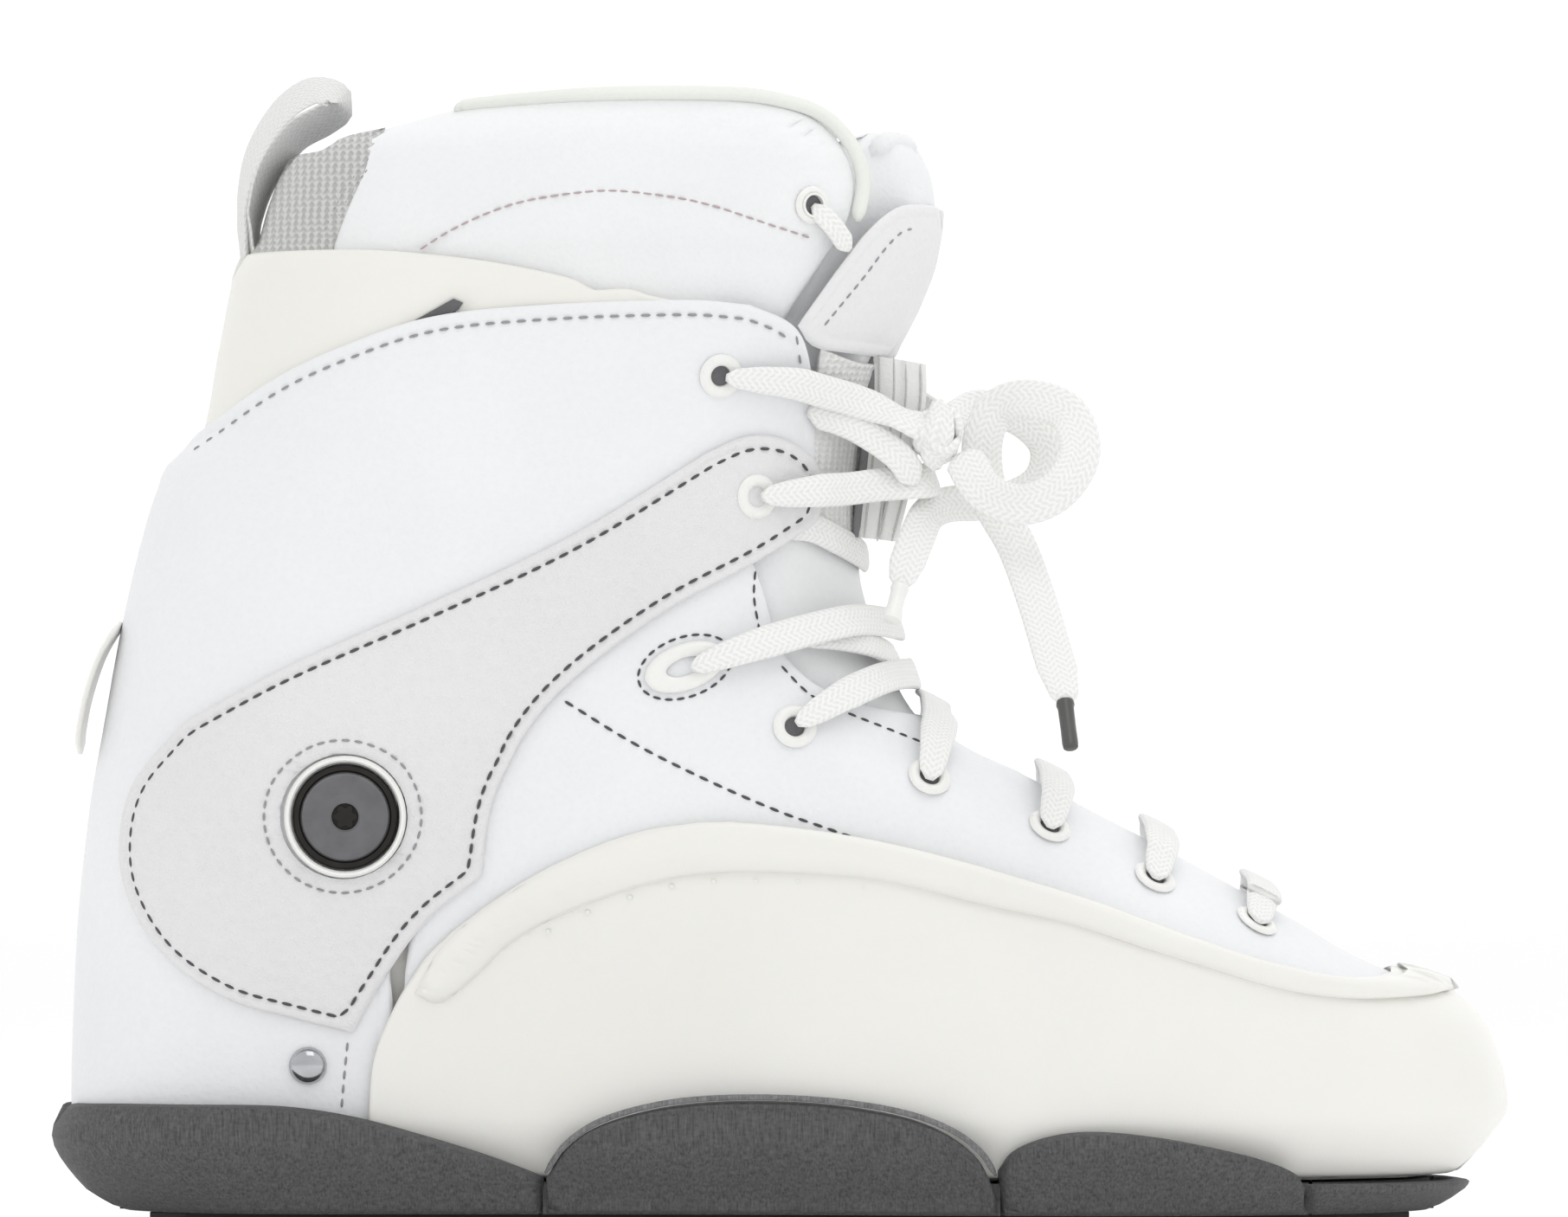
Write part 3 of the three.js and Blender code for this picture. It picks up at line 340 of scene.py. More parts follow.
def nearest(points, line):
    """Distance of each point to a closed polyline, and the side (inside > 0)."""
    a = line
    b = np.roll(line, -1, axis=0)
    ab = b - a
    best = np.full(len(points), 1e9)
    inside = np.zeros(len(points), bool)
    for k in range(len(a)):
        ap = points - a[k]
        t = np.clip((ap @ ab[k]) / max(ab[k] @ ab[k], 1e-12), 0, 1)
        best = np.minimum(best, np.linalg.norm(ap - t[:, None] * ab[k], axis=1))
        if a[k][1] != b[k][1]:
            cross = ((a[k][1] > points[:, 1]) != (b[k][1] > points[:, 1])) & (
                points[:, 0] < (b[k][0] - a[k][0]) * (points[:, 1] - a[k][1]) / (b[k][1] - a[k][1]) + a[k][0])
            inside ^= cross
    return best, inside


def inset(line, amount):
    """A closed line moved inwards, without the points that would cross."""
    area = 0.5 * np.sum(line[:, 0] * np.roll(line[:, 1], -1) - np.roll(line[:, 0], -1) * line[:, 1])
    t = np.roll(line, -1, axis=0) - np.roll(line, 1, axis=0)
    t /= np.maximum(np.linalg.norm(t, axis=1), 1e-9)[:, None]
    n = np.stack([-t[:, 1], t[:, 0]], -1) * (1 if area > 0 else -1)
    moved = line + n * amount
    d, inside = nearest(moved, line)
    return moved[(d > abs(amount) * 0.93) & inside]


def panel(name, edge, material, base, thick, home="heel", wrap=False, side=-1, round_edge=1.2,
          spacing=3.0, groove=None, holes=(), extra=None, body=None, slot="leather", form=None):
    """A sheet over the form inside a side-view outline: closed, with rounded rims and sewn grooves.
    base is the offset of its inner face; groove = (inset, depth, width) of a sewn channel."""
    form = form or BOOT
    if wrap:
        one = form.to_map(edge[:, 0], edge[:, 1], -1, home)
        two = form.to_map(edge[:, 0], edge[:, 1], 1, home)[::-1]
        line = np.vstack([one, two])
        line = line[np.linalg.norm(line - np.roll(line, -1, axis=0), axis=1) > 0.12]
    else:
        line = form.to_map(edge[:, 0], edge[:, 1], side, home)
    rings = [0.35, 0.8, 1.5, 2.4]
    if groove:
        rings += [groove[0] + share * groove[2] for share in (-1, -0.4, 0, 0.4, 1)]
    cuts = [form.to_map(hole[:, 0], hole[:, 1], side, home) for hole in holes]
    points = [line, *cuts] + [inset(line, r) for r in sorted(rings)]
    lo, hi = line.min(0), line.max(0)
    gx, gy = np.meshgrid(np.arange(lo[0], hi[0], spacing), np.arange(lo[1], hi[1], spacing * 0.9))
    gx = gx + (np.arange(gx.shape[0]) % 2)[:, None] * spacing / 2
    grid = np.stack([gx.ravel(), gy.ravel()], -1)
    d, inside = nearest(grid, line)
    points.append(grid[inside & (d > max(rings) + spacing * 0.45)])
    flat = np.vstack(points)
    edges = []
    for border in (line, *cuts):
        start, n = len(edges), len(border)
        edges += [(start + k, start + (k + 1) % n) for k in range(n)]
    verts, _, faces, *_ = delaunay_2d_cdt([Vector(p) for p in flat], edges, [], 0, 1e-4)
    flat = np.array([tuple(v) for v in verts])
    middle = np.array([flat[list(f)].mean(0) for f in faces])
    _, keep = nearest(middle, line)
    for cut in cuts:
        keep &= ~nearest(middle, cut)[1]
    faces = [tuple(f) for f, k in zip(faces, keep) if k]
    dist, _ = nearest(flat, line)
    for cut in cuts:
        dist = np.minimum(dist, nearest(flat, cut)[0])
    roll = np.sqrt(np.clip(1 - (1 - np.clip(dist / round_edge, 0, 1)) ** 2, 0, 1))
    top = base + thick * (0.5 + 0.5 * roll)
    low = base + thick * (0.5 - 0.5 * roll)
    if groove:
        top = top - groove[1] * np.exp(-((dist - groove[0]) / (0.55 * groove[2])) ** 2)
    if extra is not None:
        where = form.from_map(flat, np.zeros(len(flat)), home)
        top = top + extra(where, dist)
    outer = form.from_map(flat, top, home)
    under = form.from_map(flat, low, home)
    n = len(flat)
    both = faces + [tuple(reversed([v + n for v in f])) for f in faces]
    return make(name, np.vstack([outer, under]), both, material, body)


STITCH_RINGS = ((-0.5, 0.25), (-0.3, 0.9), (0.0, 1.0), (0.3, 0.9), (0.5, 0.25))    # (along, radius) shares


def thread_run(name, line, rise, material, side, pitch=3.2, long=2.3, wide=0.75, high=0.32,
               body="boot"):
    """A row of stitches on the form along a side-view line."""
    count = max(2, int(length_of(line) / pitch))
    spots = resample(line, count + 1)
    verts, faces = [], []
    shape = [(math.cos(a), math.sin(a)) for a in np.linspace(0, 2 * math.pi, 7)[:-1]]
    for s0, s1 in zip(spots[:-1], spots[1:]):
        mid = (s0 + s1) / 2
        p, n, _ = side_frame(mid[0], mid[1], side, rise)
        a = Vector(BOOT.on_side(s0[0], s0[1], rise, side))
        b = Vector(BOOT.on_side(s1[0], s1[1], rise, side))
        t = (b - a).normalized()
        w = n.cross(t).normalized()
        faces += tube_faces(len(STITCH_RINGS), len(shape), len(verts))
        for f, r in STITCH_RINGS:
            for c, s in shape:
                verts.append(p + t * (f * long) + w * (c * wide / 2 * r) + n * (s * high * r))
    return make(name, verts, faces, material, body)


# ------------------------------------------------------------------ materials
class Nodes:
    """Short names for building a node tree."""

    def __init__(self, name, color, rough, metal=0.0):
        self.mat = bpy.data.materials.new(name)
        self.mat.use_nodes = True
        self.tree = self.mat.node_tree
        self.shader = self.tree.nodes["Principled BSDF"]
        self.shader.inputs["Roughness"].default_value = rough
        self.shader.inputs["Metallic"].default_value = metal
        self.shader.inputs["Base Color"].default_value = (*color, 1)
        self.color = color
        self.bump = None
        self.at = self.tree.nodes.new("ShaderNodeTexCoord").outputs["Object"]

    def link(self, a, b):
        self.tree.links.new(a, b)

    def math(self, kind, a, b=None):
        node = self.tree.nodes.new("ShaderNodeMath")
        node.operation = kind
        for k, v in enumerate((a, b)):
            if v is None:
                continue
            if isinstance(v, (int, float)):
                node.inputs[k].default_value = v
            else:
                self.link(v, node.inputs[k])
        return node.outputs[0]

    def mixed(self, *terms):
        """The sum of (value, weight) terms."""
        total = None
        for value, weight in terms:
            part = value if weight == 1 else self.math("MULTIPLY", value, weight)
            total = part if total is None else self.math("ADD", total, part)
        return total

    def stretch(self, x, y, z):
        node = self.tree.nodes.new("ShaderNodeMapping")
        node.inputs["Scale"].default_value = (x, y, z)
        self.link(self.at, node.inputs["Vector"])
        return node.outputs[0]

    def noise(self, scale, detail=2.0, vector=None, rough=0.5):
        node = self.tree.nodes.new("ShaderNodeTexNoise")
        node.inputs["Scale"].default_value = scale
        node.inputs["Detail"].default_value = detail
        node.inputs["Roughness"].default_value = rough
        self.link(vector or self.at, node.inputs["Vector"])
        return node.outputs["Fac"]

    def cells(self, scale, feature="F1", vector=None):
        node = self.tree.nodes.new("ShaderNodeTexVoronoi")
        node.feature = feature
        node.inputs["Scale"].default_value = scale
        self.link(vector or self.at, node.inputs["Vector"])
        return node.outputs["Distance"]

    def mix_color(self, factor, dark, light):
        node = self.tree.nodes.new("ShaderNodeValToRGB")
        node.color_ramp.elements[0].color = (*dark, 1)
        node.color_ramp.elements[1].color = (*light, 1)
        node.color_ramp.elements[0].position = 0.3
        node.color_ramp.elements[1].position = 0.7
        self.link(factor, node.inputs["Fac"])
        self.link(node.outputs["Color"], self.shader.inputs["Base Color"])
        return node

    def vary(self, factor, amount):
        """Colour between a darker tone and the base by factor."""
        self.mix_color(factor, tuple(c * (1 - amount) for c in self.color), self.color)

    def rough_from(self, factor, low, high):
        node = self.tree.nodes.new("ShaderNodeMapRange")
        node.inputs["To Min"].default_value = low
        node.inputs["To Max"].default_value = high
        self.link(factor, node.inputs["Value"])
        self.link(node.outputs["Result"], self.shader.inputs["Roughness"])

    def relief(self, height, distance, strength=1.0):
        """Adds a bump, distance in metres."""
        node = self.tree.nodes.new("ShaderNodeBump")
        node.inputs["Distance"].default_value = distance
        node.inputs["Strength"].default_value = strength
        self.link(height, node.inputs["Height"])
        if self.bump:
            self.link(self.bump, node.inputs["Normal"])
        self.bump = node.outputs["Normal"]
        self.link(self.bump, self.shader.inputs["Normal"])

    def set(self, **values):
        for key, value in values.items():
            self.shader.inputs[key.replace("_", " ")].default_value = value
        return self


def srgb(text):
    raw = [int(text[k:k + 2], 16) / 255 for k in (0, 2, 4)]
    return tuple(c / 12.92 if c < 0.04045 else ((c + 0.055) / 1.055) ** 2.4 for c in raw)


def leather_look(name, color, rough, cell=820, depth=0.00016):
    n = Nodes(name, color, rough)
    n.set(Specular_IOR_Level=0.45)
    grain = n.mixed((n.cells(cell, "SMOOTH_F1"), 1), (n.noise(2600, 3), 0.6))
    n.relief(n.noise(55, 2), 0.0009, 0.35)
    n.relief(grain, depth, 0.55)
    n.vary(n.mixed((n.noise(22, 3), 0.7), (grain, 0.25)), 0.05)
    n.rough_from(n.noise(160, 4), rough - 0.08, rough + 0.14)
    return n.mat


def plastic_look(name, color, rough, coat=0.15):
    n = Nodes(name, color, rough)
    n.set(Specular_IOR_Level=0.5, Coat_Weight=coat, Coat_Roughness=0.22, Subsurface_Weight=0.06)
    n.shader.inputs["Subsurface Radius"].default_value = (0.004, 0.003, 0.002)
    n.relief(n.noise(1900, 3), 0.00005, 0.5)
    n.relief(n.noise(30, 1), 0.0012, 0.12)
    n.vary(n.noise(18, 3), 0.035)
    n.rough_from(n.noise(300, 5), rough - 0.05, rough + 0.1)
    return n.mat


def knit_look(name, color, rib, dark=0.22, axis="x", rough=0.9):
    """Ribbed knit: rib is the pitch in metres."""
    n = Nodes(name, color, rough)
    n.set(Sheen_Weight=0.35, Sheen_Roughness=0.5, Specular_IOR_Level=0.25)
    split = n.tree.nodes.new("ShaderNodeSeparateXYZ")
    n.link(n.at, split.inputs[0])
    k = 2 * math.pi / rib
    a = n.math("SINE", n.math("MULTIPLY", split.outputs[{"x": 0, "y": 1, "z": 2}[axis]], k))
    other = split.outputs[2 if axis != "z" else 0]
    b = n.math("SINE", n.math("MULTIPLY", n.math("ADD", other, n.math("MULTIPLY", a, rib * 0.15)), k * 1.25))
    c = n.math("SINE", n.math("MULTIPLY", split.outputs[1 if axis != "y" else 0], k))
    weave = n.mixed((a, 0.5), (b, 0.35), (c, 0.25))
    height = n.math("ADD", n.math("MULTIPLY", weave, 0.5), 0.5)
    n.relief(height, rib * 0.28, 0.8)
    n.relief(n.noise(4200, 3), 0.0001, 0.5)
    n.vary(height, dark)
    return n.mat


def braid_look(name, color, pitch=1.5, dark=0.16, rough=0.92):
    """Flat braid or webbing on a ribbon that carries its run, pitch in millimetres."""
    n = Nodes(name, color, rough)
    n.set(Sheen_Weight=0.45, Sheen_Roughness=0.45, Specular_IOR_Level=0.25)
    attribute = n.tree.nodes.new("ShaderNodeAttribute")
    attribute.attribute_name = "run"
    split = n.tree.nodes.new("ShaderNodeSeparateXYZ")
    n.link(attribute.outputs["Vector"], split.inputs[0])
    u, v = split.outputs[0], split.outputs[1]
    k = 2 * math.pi / pitch
    fold = n.math("PINGPONG", n.math("ADD", v, 40), 1.9)
    chevron = n.math("SINE", n.math("MULTIPLY", n.math("ADD", u, fold), k))
    ribs = n.math("SINE", n.math("MULTIPLY", v, 2 * math.pi / 0.95))
    height = n.math("ADD", n.mixed((chevron, 0.36), (ribs, 0.2)), 0.5)
    n.relief(height, 0.00026, 0.6)
    n.relief(n.noise(3600, 2), 0.00008, 0.4)
    n.vary(n.mixed((height, 1), (n.noise(500, 2), 0.15)), dark)
    return n.mat


def soul_look(name, color, rough):
    """Charcoal moulding with fine upright woven streaks."""
    n = Nodes(name, color, rough)
    n.set(Specular_IOR_Level=0.35)
    streak = n.noise(1.0, 4, n.stretch(2300, 2300, 260), 0.65)
    cross = n.noise(1.0, 2, n.stretch(700, 700, 1500))
    both = n.mixed((streak, 0.75), (cross, 0.3))
    n.mix_color(both, tuple(c * 0.45 for c in color), tuple(min(c * 1.9, 1) for c in color))
    n.relief(both, 0.00014, 0.7)
    n.rough_from(n.noise(90, 3), rough - 0.1, rough + 0.12)
    return n.mat


def metal_look(name, color, rough):
    n = Nodes(name, color, rough, 1.0)
    n.relief(n.noise(1300, 3), 0.00002, 0.4)
    n.vary(n.noise(260, 4), 0.16)
    n.rough_from(n.noise(420, 4), rough - 0.04, rough + 0.12)
    return n.mat


def foam_look(name, color, rough=0.95, scale=1500):
    n = Nodes(name, color, rough)
    n.set(Sheen_Weight=0.3, Specular_IOR_Level=0.2)
    n.relief(n.cells(scale), 0.0003, 0.5)
    n.vary(n.noise(60, 4), 0.14)
    return n.mat


def thread_look(name, color):
    n = Nodes(name, color, 0.85)
    n.set(Sheen_Weight=0.3, Specular_IOR_Level=0.3)
    twist = n.noise(1.0, 2, n.stretch(5200, 2600, 5200))
    n.relief(twist, 0.0001, 0.6)
    n.vary(twist, 0.35)
    return n.mat


LEATHER = leather_look("leather_white", srgb("F2F3F5"), 0.5)
STRAP = leather_look("leather_pebbled", srgb("EBEAEB"), 0.58, 420, 0.0007)
SHELL = plastic_look("shell_plastic", srgb("F2F1EC"), 0.34, 0.3)
CUFF = plastic_look("cuff_plastic", srgb("F1F0EA"), 0.4, 0.12)
LINER = leather_look("liner_leather", srgb("F3F4F5"), 0.54, 1000, 0.00014)
LINING = knit_look("liner_lining", srgb("C9CACB"), 0.0011)
KNIT = knit_look("back_knit", srgb("D3D3D1"), 0.0017, 0.3)
TONGUE = leather_look("tongue_leather", srgb("F1F2F3"), 0.6, 900, 0.0002)
LEAF = leather_look("leaf_leather", srgb("EDEDEE"), 0.6, 900, 0.0002)
MESH = knit_look("strap_mesh", srgb("EFEFED"), 0.0017, 0.13, "y")
TAB = leather_look("hook_end_webbing", srgb("F1F1EF"), 0.46, 1500, 0.0002)
WEBBING = braid_look("loop_webbing", srgb("ECECEA"), 1.7, 0.14)
LACE = braid_look("lace_braid", srgb("F8F8F6"), 1.6, 0.1)
PIPING = leather_look("piping", srgb("EDEFE9"), 0.5, 1300, 0.0001)
SOULS = soul_look("soul_charcoal", srgb("4B4B4C"), 0.62)
# lighter than the plates: painted highlight along the arch plate's raised rim
SOUL_RIM_HIGHLIGHT = soul_look("soul_rim_painted_highlight", srgb("6A6A6B"), 0.5)
BLOCK = plastic_look("block_plastic", srgb("343436"), 0.6, 0.0)
ENAMEL = plastic_look("eyelet_enamel", srgb("F4F4F1"), 0.26, 0.4)
STEEL_LOOK = metal_look("bolt_steel", srgb("77777A"), 0.3)
CHROME = metal_look("rivet_chrome", srgb("C4C5C8"), 0.12)
# dark metal for the bolt's seat ring; in the driver socket the same dark is painted shade
DARK_SEAT_AND_SOCKET_SHADE = metal_look("bolt_dark_seat_and_socket_shade", srgb("3A3836"), 0.45)
THREAD = thread_look("thread_grey", srgb("5A595C"))
THREAD_PALE = thread_look("thread_pale", srgb("A8A8AC"))
THREAD_WHITE = thread_look("thread_white", srgb("DADAD8"))
THREAD_ROSE = thread_look("thread_rose", srgb("CDBBBE"))
FOAM = foam_look("footbed_foam", srgb("54575B"))
PAD = foam_look("heel_pad_foam", srgb("6A6D70"))
DARK_TIP = plastic_look("aglet_dark", srgb("4E4D4C"), 0.3, 0.3)
# painted shade: this dark grey stands for the shade inside the eyelet holes and the cuff slot
HOLE_SHADE = foam_look("painted_hole_shade", srgb("6E6E70"))
PILE = foam_look("hook_pile", srgb("8C8C8E"))


# ------------------------------------------------------------------ more shapes
def lathe(name, profile, at, axis, material, body, steps=48, closed=True):
    """Turned piece: profile of (radius, height) along axis from at, all in mm."""
    axis = Vector(axis).normalized()
    turn = Vector((0, 0, 1)).rotation_difference(axis)
    verts = []
    for k in range(steps):
        a = 2 * math.pi * k / steps
        for r, h in profile:
            verts.append(Vector(at) + turn @ Vector((r * math.cos(a), r * math.sin(a), h)))
    faces = turned_faces(steps, len(profile), closed)
    return make(name, verts, faces, material, body, split=38)


def ribbon(name, path, normals, width, thick, material, body, widths=None, sides=18, step=1.1):
    """A flat cord swept along path with its face towards normals, closed at both ends."""
    path = np.asarray(path, float)
    count = max(8, int(length_of(path) / step))
    src = np.concatenate([[0], np.cumsum(np.linalg.norm(np.diff(path, axis=0), axis=1))])
    at = np.linspace(0, src[-1], count)
    line = np.stack([np.interp(at, src, path[:, k]) for k in range(3)], -1)
    norm = np.asarray([tuple(v) for v in normals], float)
    norm = np.stack([np.interp(at, np.linspace(0, src[-1], len(norm)), norm[:, k]) for k in range(3)], -1)
    size = np.ones(count) if widths is None else np.interp(at / src[-1], *zip(*widths))
    verts, run = [], []
    for k in range(count):
        t = Vector(line[min(k + 1, count - 1)] - line[max(k - 1, 0)]).normalized()
        n = Vector(norm[k])
        n = (n - t * n.dot(t)).normalized()
        b = t.cross(n)
        end = min(1.0, 0.45 + min(k, count - 1 - k) * 0.3)
        for m in range(sides):
            a = 2 * math.pi * m / sides
            c, s = math.cos(a), math.sin(a)
            v = math.copysign(abs(c) ** 0.55, c) * width / 2 * size[k] * end
            h = math.copysign(abs(s) ** 0.8, s) * thick / 2 * end
            verts.append(Vector(line[k]) + b * v + n * h)
            run.append((at[k], v, 0))
    return make(name, verts, tube_faces(count, sides), material, body, run=run)


def over_form(places, side, rise):
    """Side-view places (x, z[, rise]) to points and normals on one side."""
    points, normals = [], []
    for place in places:
        p, n, _ = side_frame(place[0], place[1], side, 0.0)
        points.append(p + n * (place[2] if len(place) > 2 else rise))
        normals.append(n)
    return points, normals


def circle(x, z, r, count=40):
    a = np.linspace(0, 2 * math.pi, count, endpoint=False)
    return np.stack([x + r * np.cos(a), z + r * np.sin(a)], -1)


def mirror_sides(build):
    for side, where in SIDES:
        build(side, where)


# ------------------------------------------------------------------ camera, floor and light
CENTRE = Vector(((CAD_BOX[0][0] + CAD_BOX[1][0]) / 2, 0, 0.13455))
VIEW_WIDTH, VIEW_DISTANCE, SENSOR = 0.3381, 4.0, 36.0
camera_data = bpy.data.cameras.new("camera")
camera_data.sensor_width = SENSOR
camera_data.lens = SENSOR * (VIEW_DISTANCE - 0.02) / VIEW_WIDTH
camera_data.clip_end = 30
camera = bpy.data.objects.new("camera", camera_data)
bpy.context.scene.collection.objects.link(camera)
camera.location = (0.00093, -VIEW_DISTANCE, CENTRE.z)
camera.rotation_euler = (math.radians(90), 0, 0)
bpy.context.scene.camera = camera
bpy.context.scene.view_settings.view_transform = "Standard"

EYELETS = [(102.3, 67.2), (80.4, 76.6), (57.8, 87.6), (32, 98.3), (3.2, 109.2)]
CUFF_EYELETS = [(-6, 158.6), (-12.7, 184.4)]
LINER_EYELET = (8.2, 221)
OVAL = (-20.3, 122)
RIVET = (-101.2, 36.5)
THROAT_HALF = 13
LACE_WIDE, LACE_THICK = 8.6, 1.9
BOW_A = [(39, -27, 168), (44, -33, 159.8), (52, -37, 156.8), (60, -37, 160), (64.6, -34, 168),
         (62, -30, 176.4), (54, -26, 179.6), (47.4, -22.4, 178), (44, -21.4, 172), (43.8, -21, 164),
         (46, -21.4, 157), (51, -25.6, 148), (55, -33.4, 137), (58.2, -42, 126), (60.6, -49.8, 117.4),
         (61.1, -52.4, 114)]
BOW_B = [(37.4, -19.4, 175), (43.2, -11.8, 178), (52, -9.4, 175.6), (57.6, -8, 169.6),
         (56.4, -8, 162.6), (50, -9.4, 158.4), (43, -11.4, 157.4), (36.4, -15.4, 157),
         (32, -22, 154.8), (29.6, -29, 150), (27.3, -34, 144), (25.8, -36.8, 138.8)]


def bow_normals(line, spin):
    """Faces of a loose flat lace: turning slowly about its run, towards the viewer at the loops."""
    out = []
    for k in range(len(line)):
        t = Vector(line[min(k + 1, len(line) - 1)] - line[max(k - 1, 0)]).normalized()
        n = Vector((0.15, -1, 0.25))
        n = (n - t * n.dot(t)).normalized()
        share = k / (len(line) - 1)
        out.append(Quaternion(t, np.interp(share, *zip(*spin))) @ n)
    return out


def loose_end(name, points, spin, width, aglet, tip_long, tip_look, flare=1.0):
    line = spline(points, 150)
    tape = ribbon(name, line, bow_normals(line, spin), width, 1.9, LACE, "cuff",
                  widths=[(0, 1.0), (0.93, 1.0), (1, 0.62)])
    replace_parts(tape, name.replace("_tape", ""))
    way = Vector(line[-1] - line[-4]).normalized()
    profile = [(0, -0.6), (1.9, -0.6), (2.0, 0.2), (1.75, 1.0), (1.7, tip_long * 0.55),
               (1.75 * flare, tip_long - 1.2), (1.62 * flare, tip_long - 0.3), (1.1, tip_long), (0, tip_long)]
    tip = lathe(aglet + "_tip", profile, line[-1], way, tip_look, "cuff", 28, closed=False)
    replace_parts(tip, aglet)
    return tape


loose_end("lace_end_lateral_tape", BOW_A, [(0, 0.2), (0.2, 0.3), (0.35, -0.25), (0.5, 0.25), (0.65, 0),
                                           (1, 0)], 8.8, "aglet_lateral", 11.5, DARK_TIP)
loose_end("lace_end_medial_tape", BOW_B, [(0, 0), (0.3, 0.6), (0.6, -0.3), (1, 0.3)], 7.8,
          "aglet_medial", 8.0, ENAMEL, 1.25)


# ------------------------------------------------------------------ laces over the instep
def crest(x):
    z = 60.0
    while z < 160 and along(FRONT, z) > x:
        z += 0.25
    return z


def lace_bars():
    for k, (x, z) in enumerate(EYELETS[:4]):
        top = crest(x)
        climb = [(x - 0.4, z - 1.2, 1.9), (x, z + 2.6, 3.4), (x, z + 0.4 * (top - z), 4.2),
                 (x, z + 0.75 * (top - z), 4.1)]
        left, left_n = over_form(climb, -1, 4)
        right, right_n = over_form(climb, 1, 4)
        mid = Vector((x + 1.2, float(swing(x)), top + 3.4))
        lean = Vector((0.5, 0, 1)).normalized()
        path = left + [mid] + right[::-1]
        normals = left_n + [lean] + right_n[::-1]
        line = spline([tuple(p) for p in path], 90)
        bar = ribbon(f"lace_bar_{k + 1}_tape", line, normals, LACE_WIDE, LACE_THICK, LACE, "boot",
                     widths=[(0, 0.5), (0.05, 0.72), (0.16, 0.95), (0.5, 1), (0.84, 0.95), (0.95, 0.72),
                             (1, 0.5)])
        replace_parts(bar, f"lace_bar_{k + 1}")


def crossing(name, start, way, mid, body, width=7.2, thick=1.9):
    left, left_n = over_form([start] + way, -1, 3.9)
    right, right_n = over_form([start] + way, 1, 3.9)
    middle = [Vector(p) for p in mid]
    face = [Vector((0.75, -0.5 + k / max(len(mid), 1), 0.25)).normalized() for k in range(len(mid))]
    line = spline([tuple(p) for p in left + middle + right[::-1]], 140)
    return ribbon(name + "_tape", line, left_n + face + right_n[::-1], width, thick, LACE, body,
                  widths=[(0, 0.5), (0.05, 0.8), (0.12, 1), (0.88, 1), (0.95, 0.8), (1, 0.5)])


def lace_crossings():
    low = 3.9
    runs = [
        ("lace_crossing_1", (3.2, 109.2, 2.6), [(12, 114, low), (20, 117.6, low)], [(29, -1.5, 120.4)],
         "boot"),
        ("lace_crossing_2", (-19, 121.6, 2.4), [(-8, 125, 4.2), (4, 128.4, 4.2), (14, 130.6, 4.2)],
         [(25.6, -2, 131)], "boot"),
        ("lace_crossing_3", (-6, 158.6, 4.6), [(4, 160, 6.2), (10, 160.6, 6.2)],
         [(22, -27, 161.2), (31.4, -23.4, 161.8), (32.6, -10, 162.6), (25, 13, 161.6)], "cuff"),
        ("lace_crossing_4", (-12.2, 184.4, 2.6), [(0, 183.8, low), (7, 182, low)],
         [(20, -28.4, 178), (29.4, -27.4, 174), (35.4, -20, 173), (35.6, -8, 176), (26, 14, 180.6)], "cuff"),
    ]
    for name, start, way, mid, body in runs:
        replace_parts(crossing(name, start, way, mid, body), name)


def one_sided(name, side, start, points, body, width=7.2, end_normal=(0.3, -1, 0.2)):
    """A short run of lace from under an edge to a free point."""
    first, first_n = over_form(start, side, 2.0)
    rest = [Vector(p) for p in points]
    line = spline([tuple(p) for p in first + rest], 60)
    face = Vector((end_normal[0], end_normal[1] * (-side), end_normal[2])).normalized()
    return ribbon(name, line, first_n + [face] * len(rest), width, 1.8, LACE, body,
                  widths=[(0, 0.6), (0.12, 1), (0.9, 1), (1, 0.6)])


def lace_strands():
    """The laces seen between the crossings: out of the liner eyelets and under the straps."""
    for side, where in SIDES:
        one_sided(f"liner_lace_{where}", side,
                  [(8.2, 221, -2.4), (11.6, 216.6, -0.4), (15.4, 211.4, -0.6)], [], "cuff", 4.6)
    one_sided("lace_under_lateral", -1, [(5.6, 177, 0.8), (10, 175.8, 3.2)],
              [(18, -29, 172.6), (25.4, -29, 167.4), (29.6, -26.6, 161.4)], "cuff", 6.8)
    for side, where in SIDES:
        one_sided(f"lace_low_{where}", side,
                  [(-1, 152.4, -1.2), (6, 152.2, 0.2), (12, 149.4, 0.4), (17, 146.6, 0.2),
                   (19.4, 145.2, -0.6)], [], "cuff", 6.6)
        one_sided(f"lace_lower_{where}", side,
                  [(2.4, 128.6, 1.2), (9, 128, 2), (17, 126.2, 2.2), (24, 123.4, 1.6)], [], "boot", 6.6)


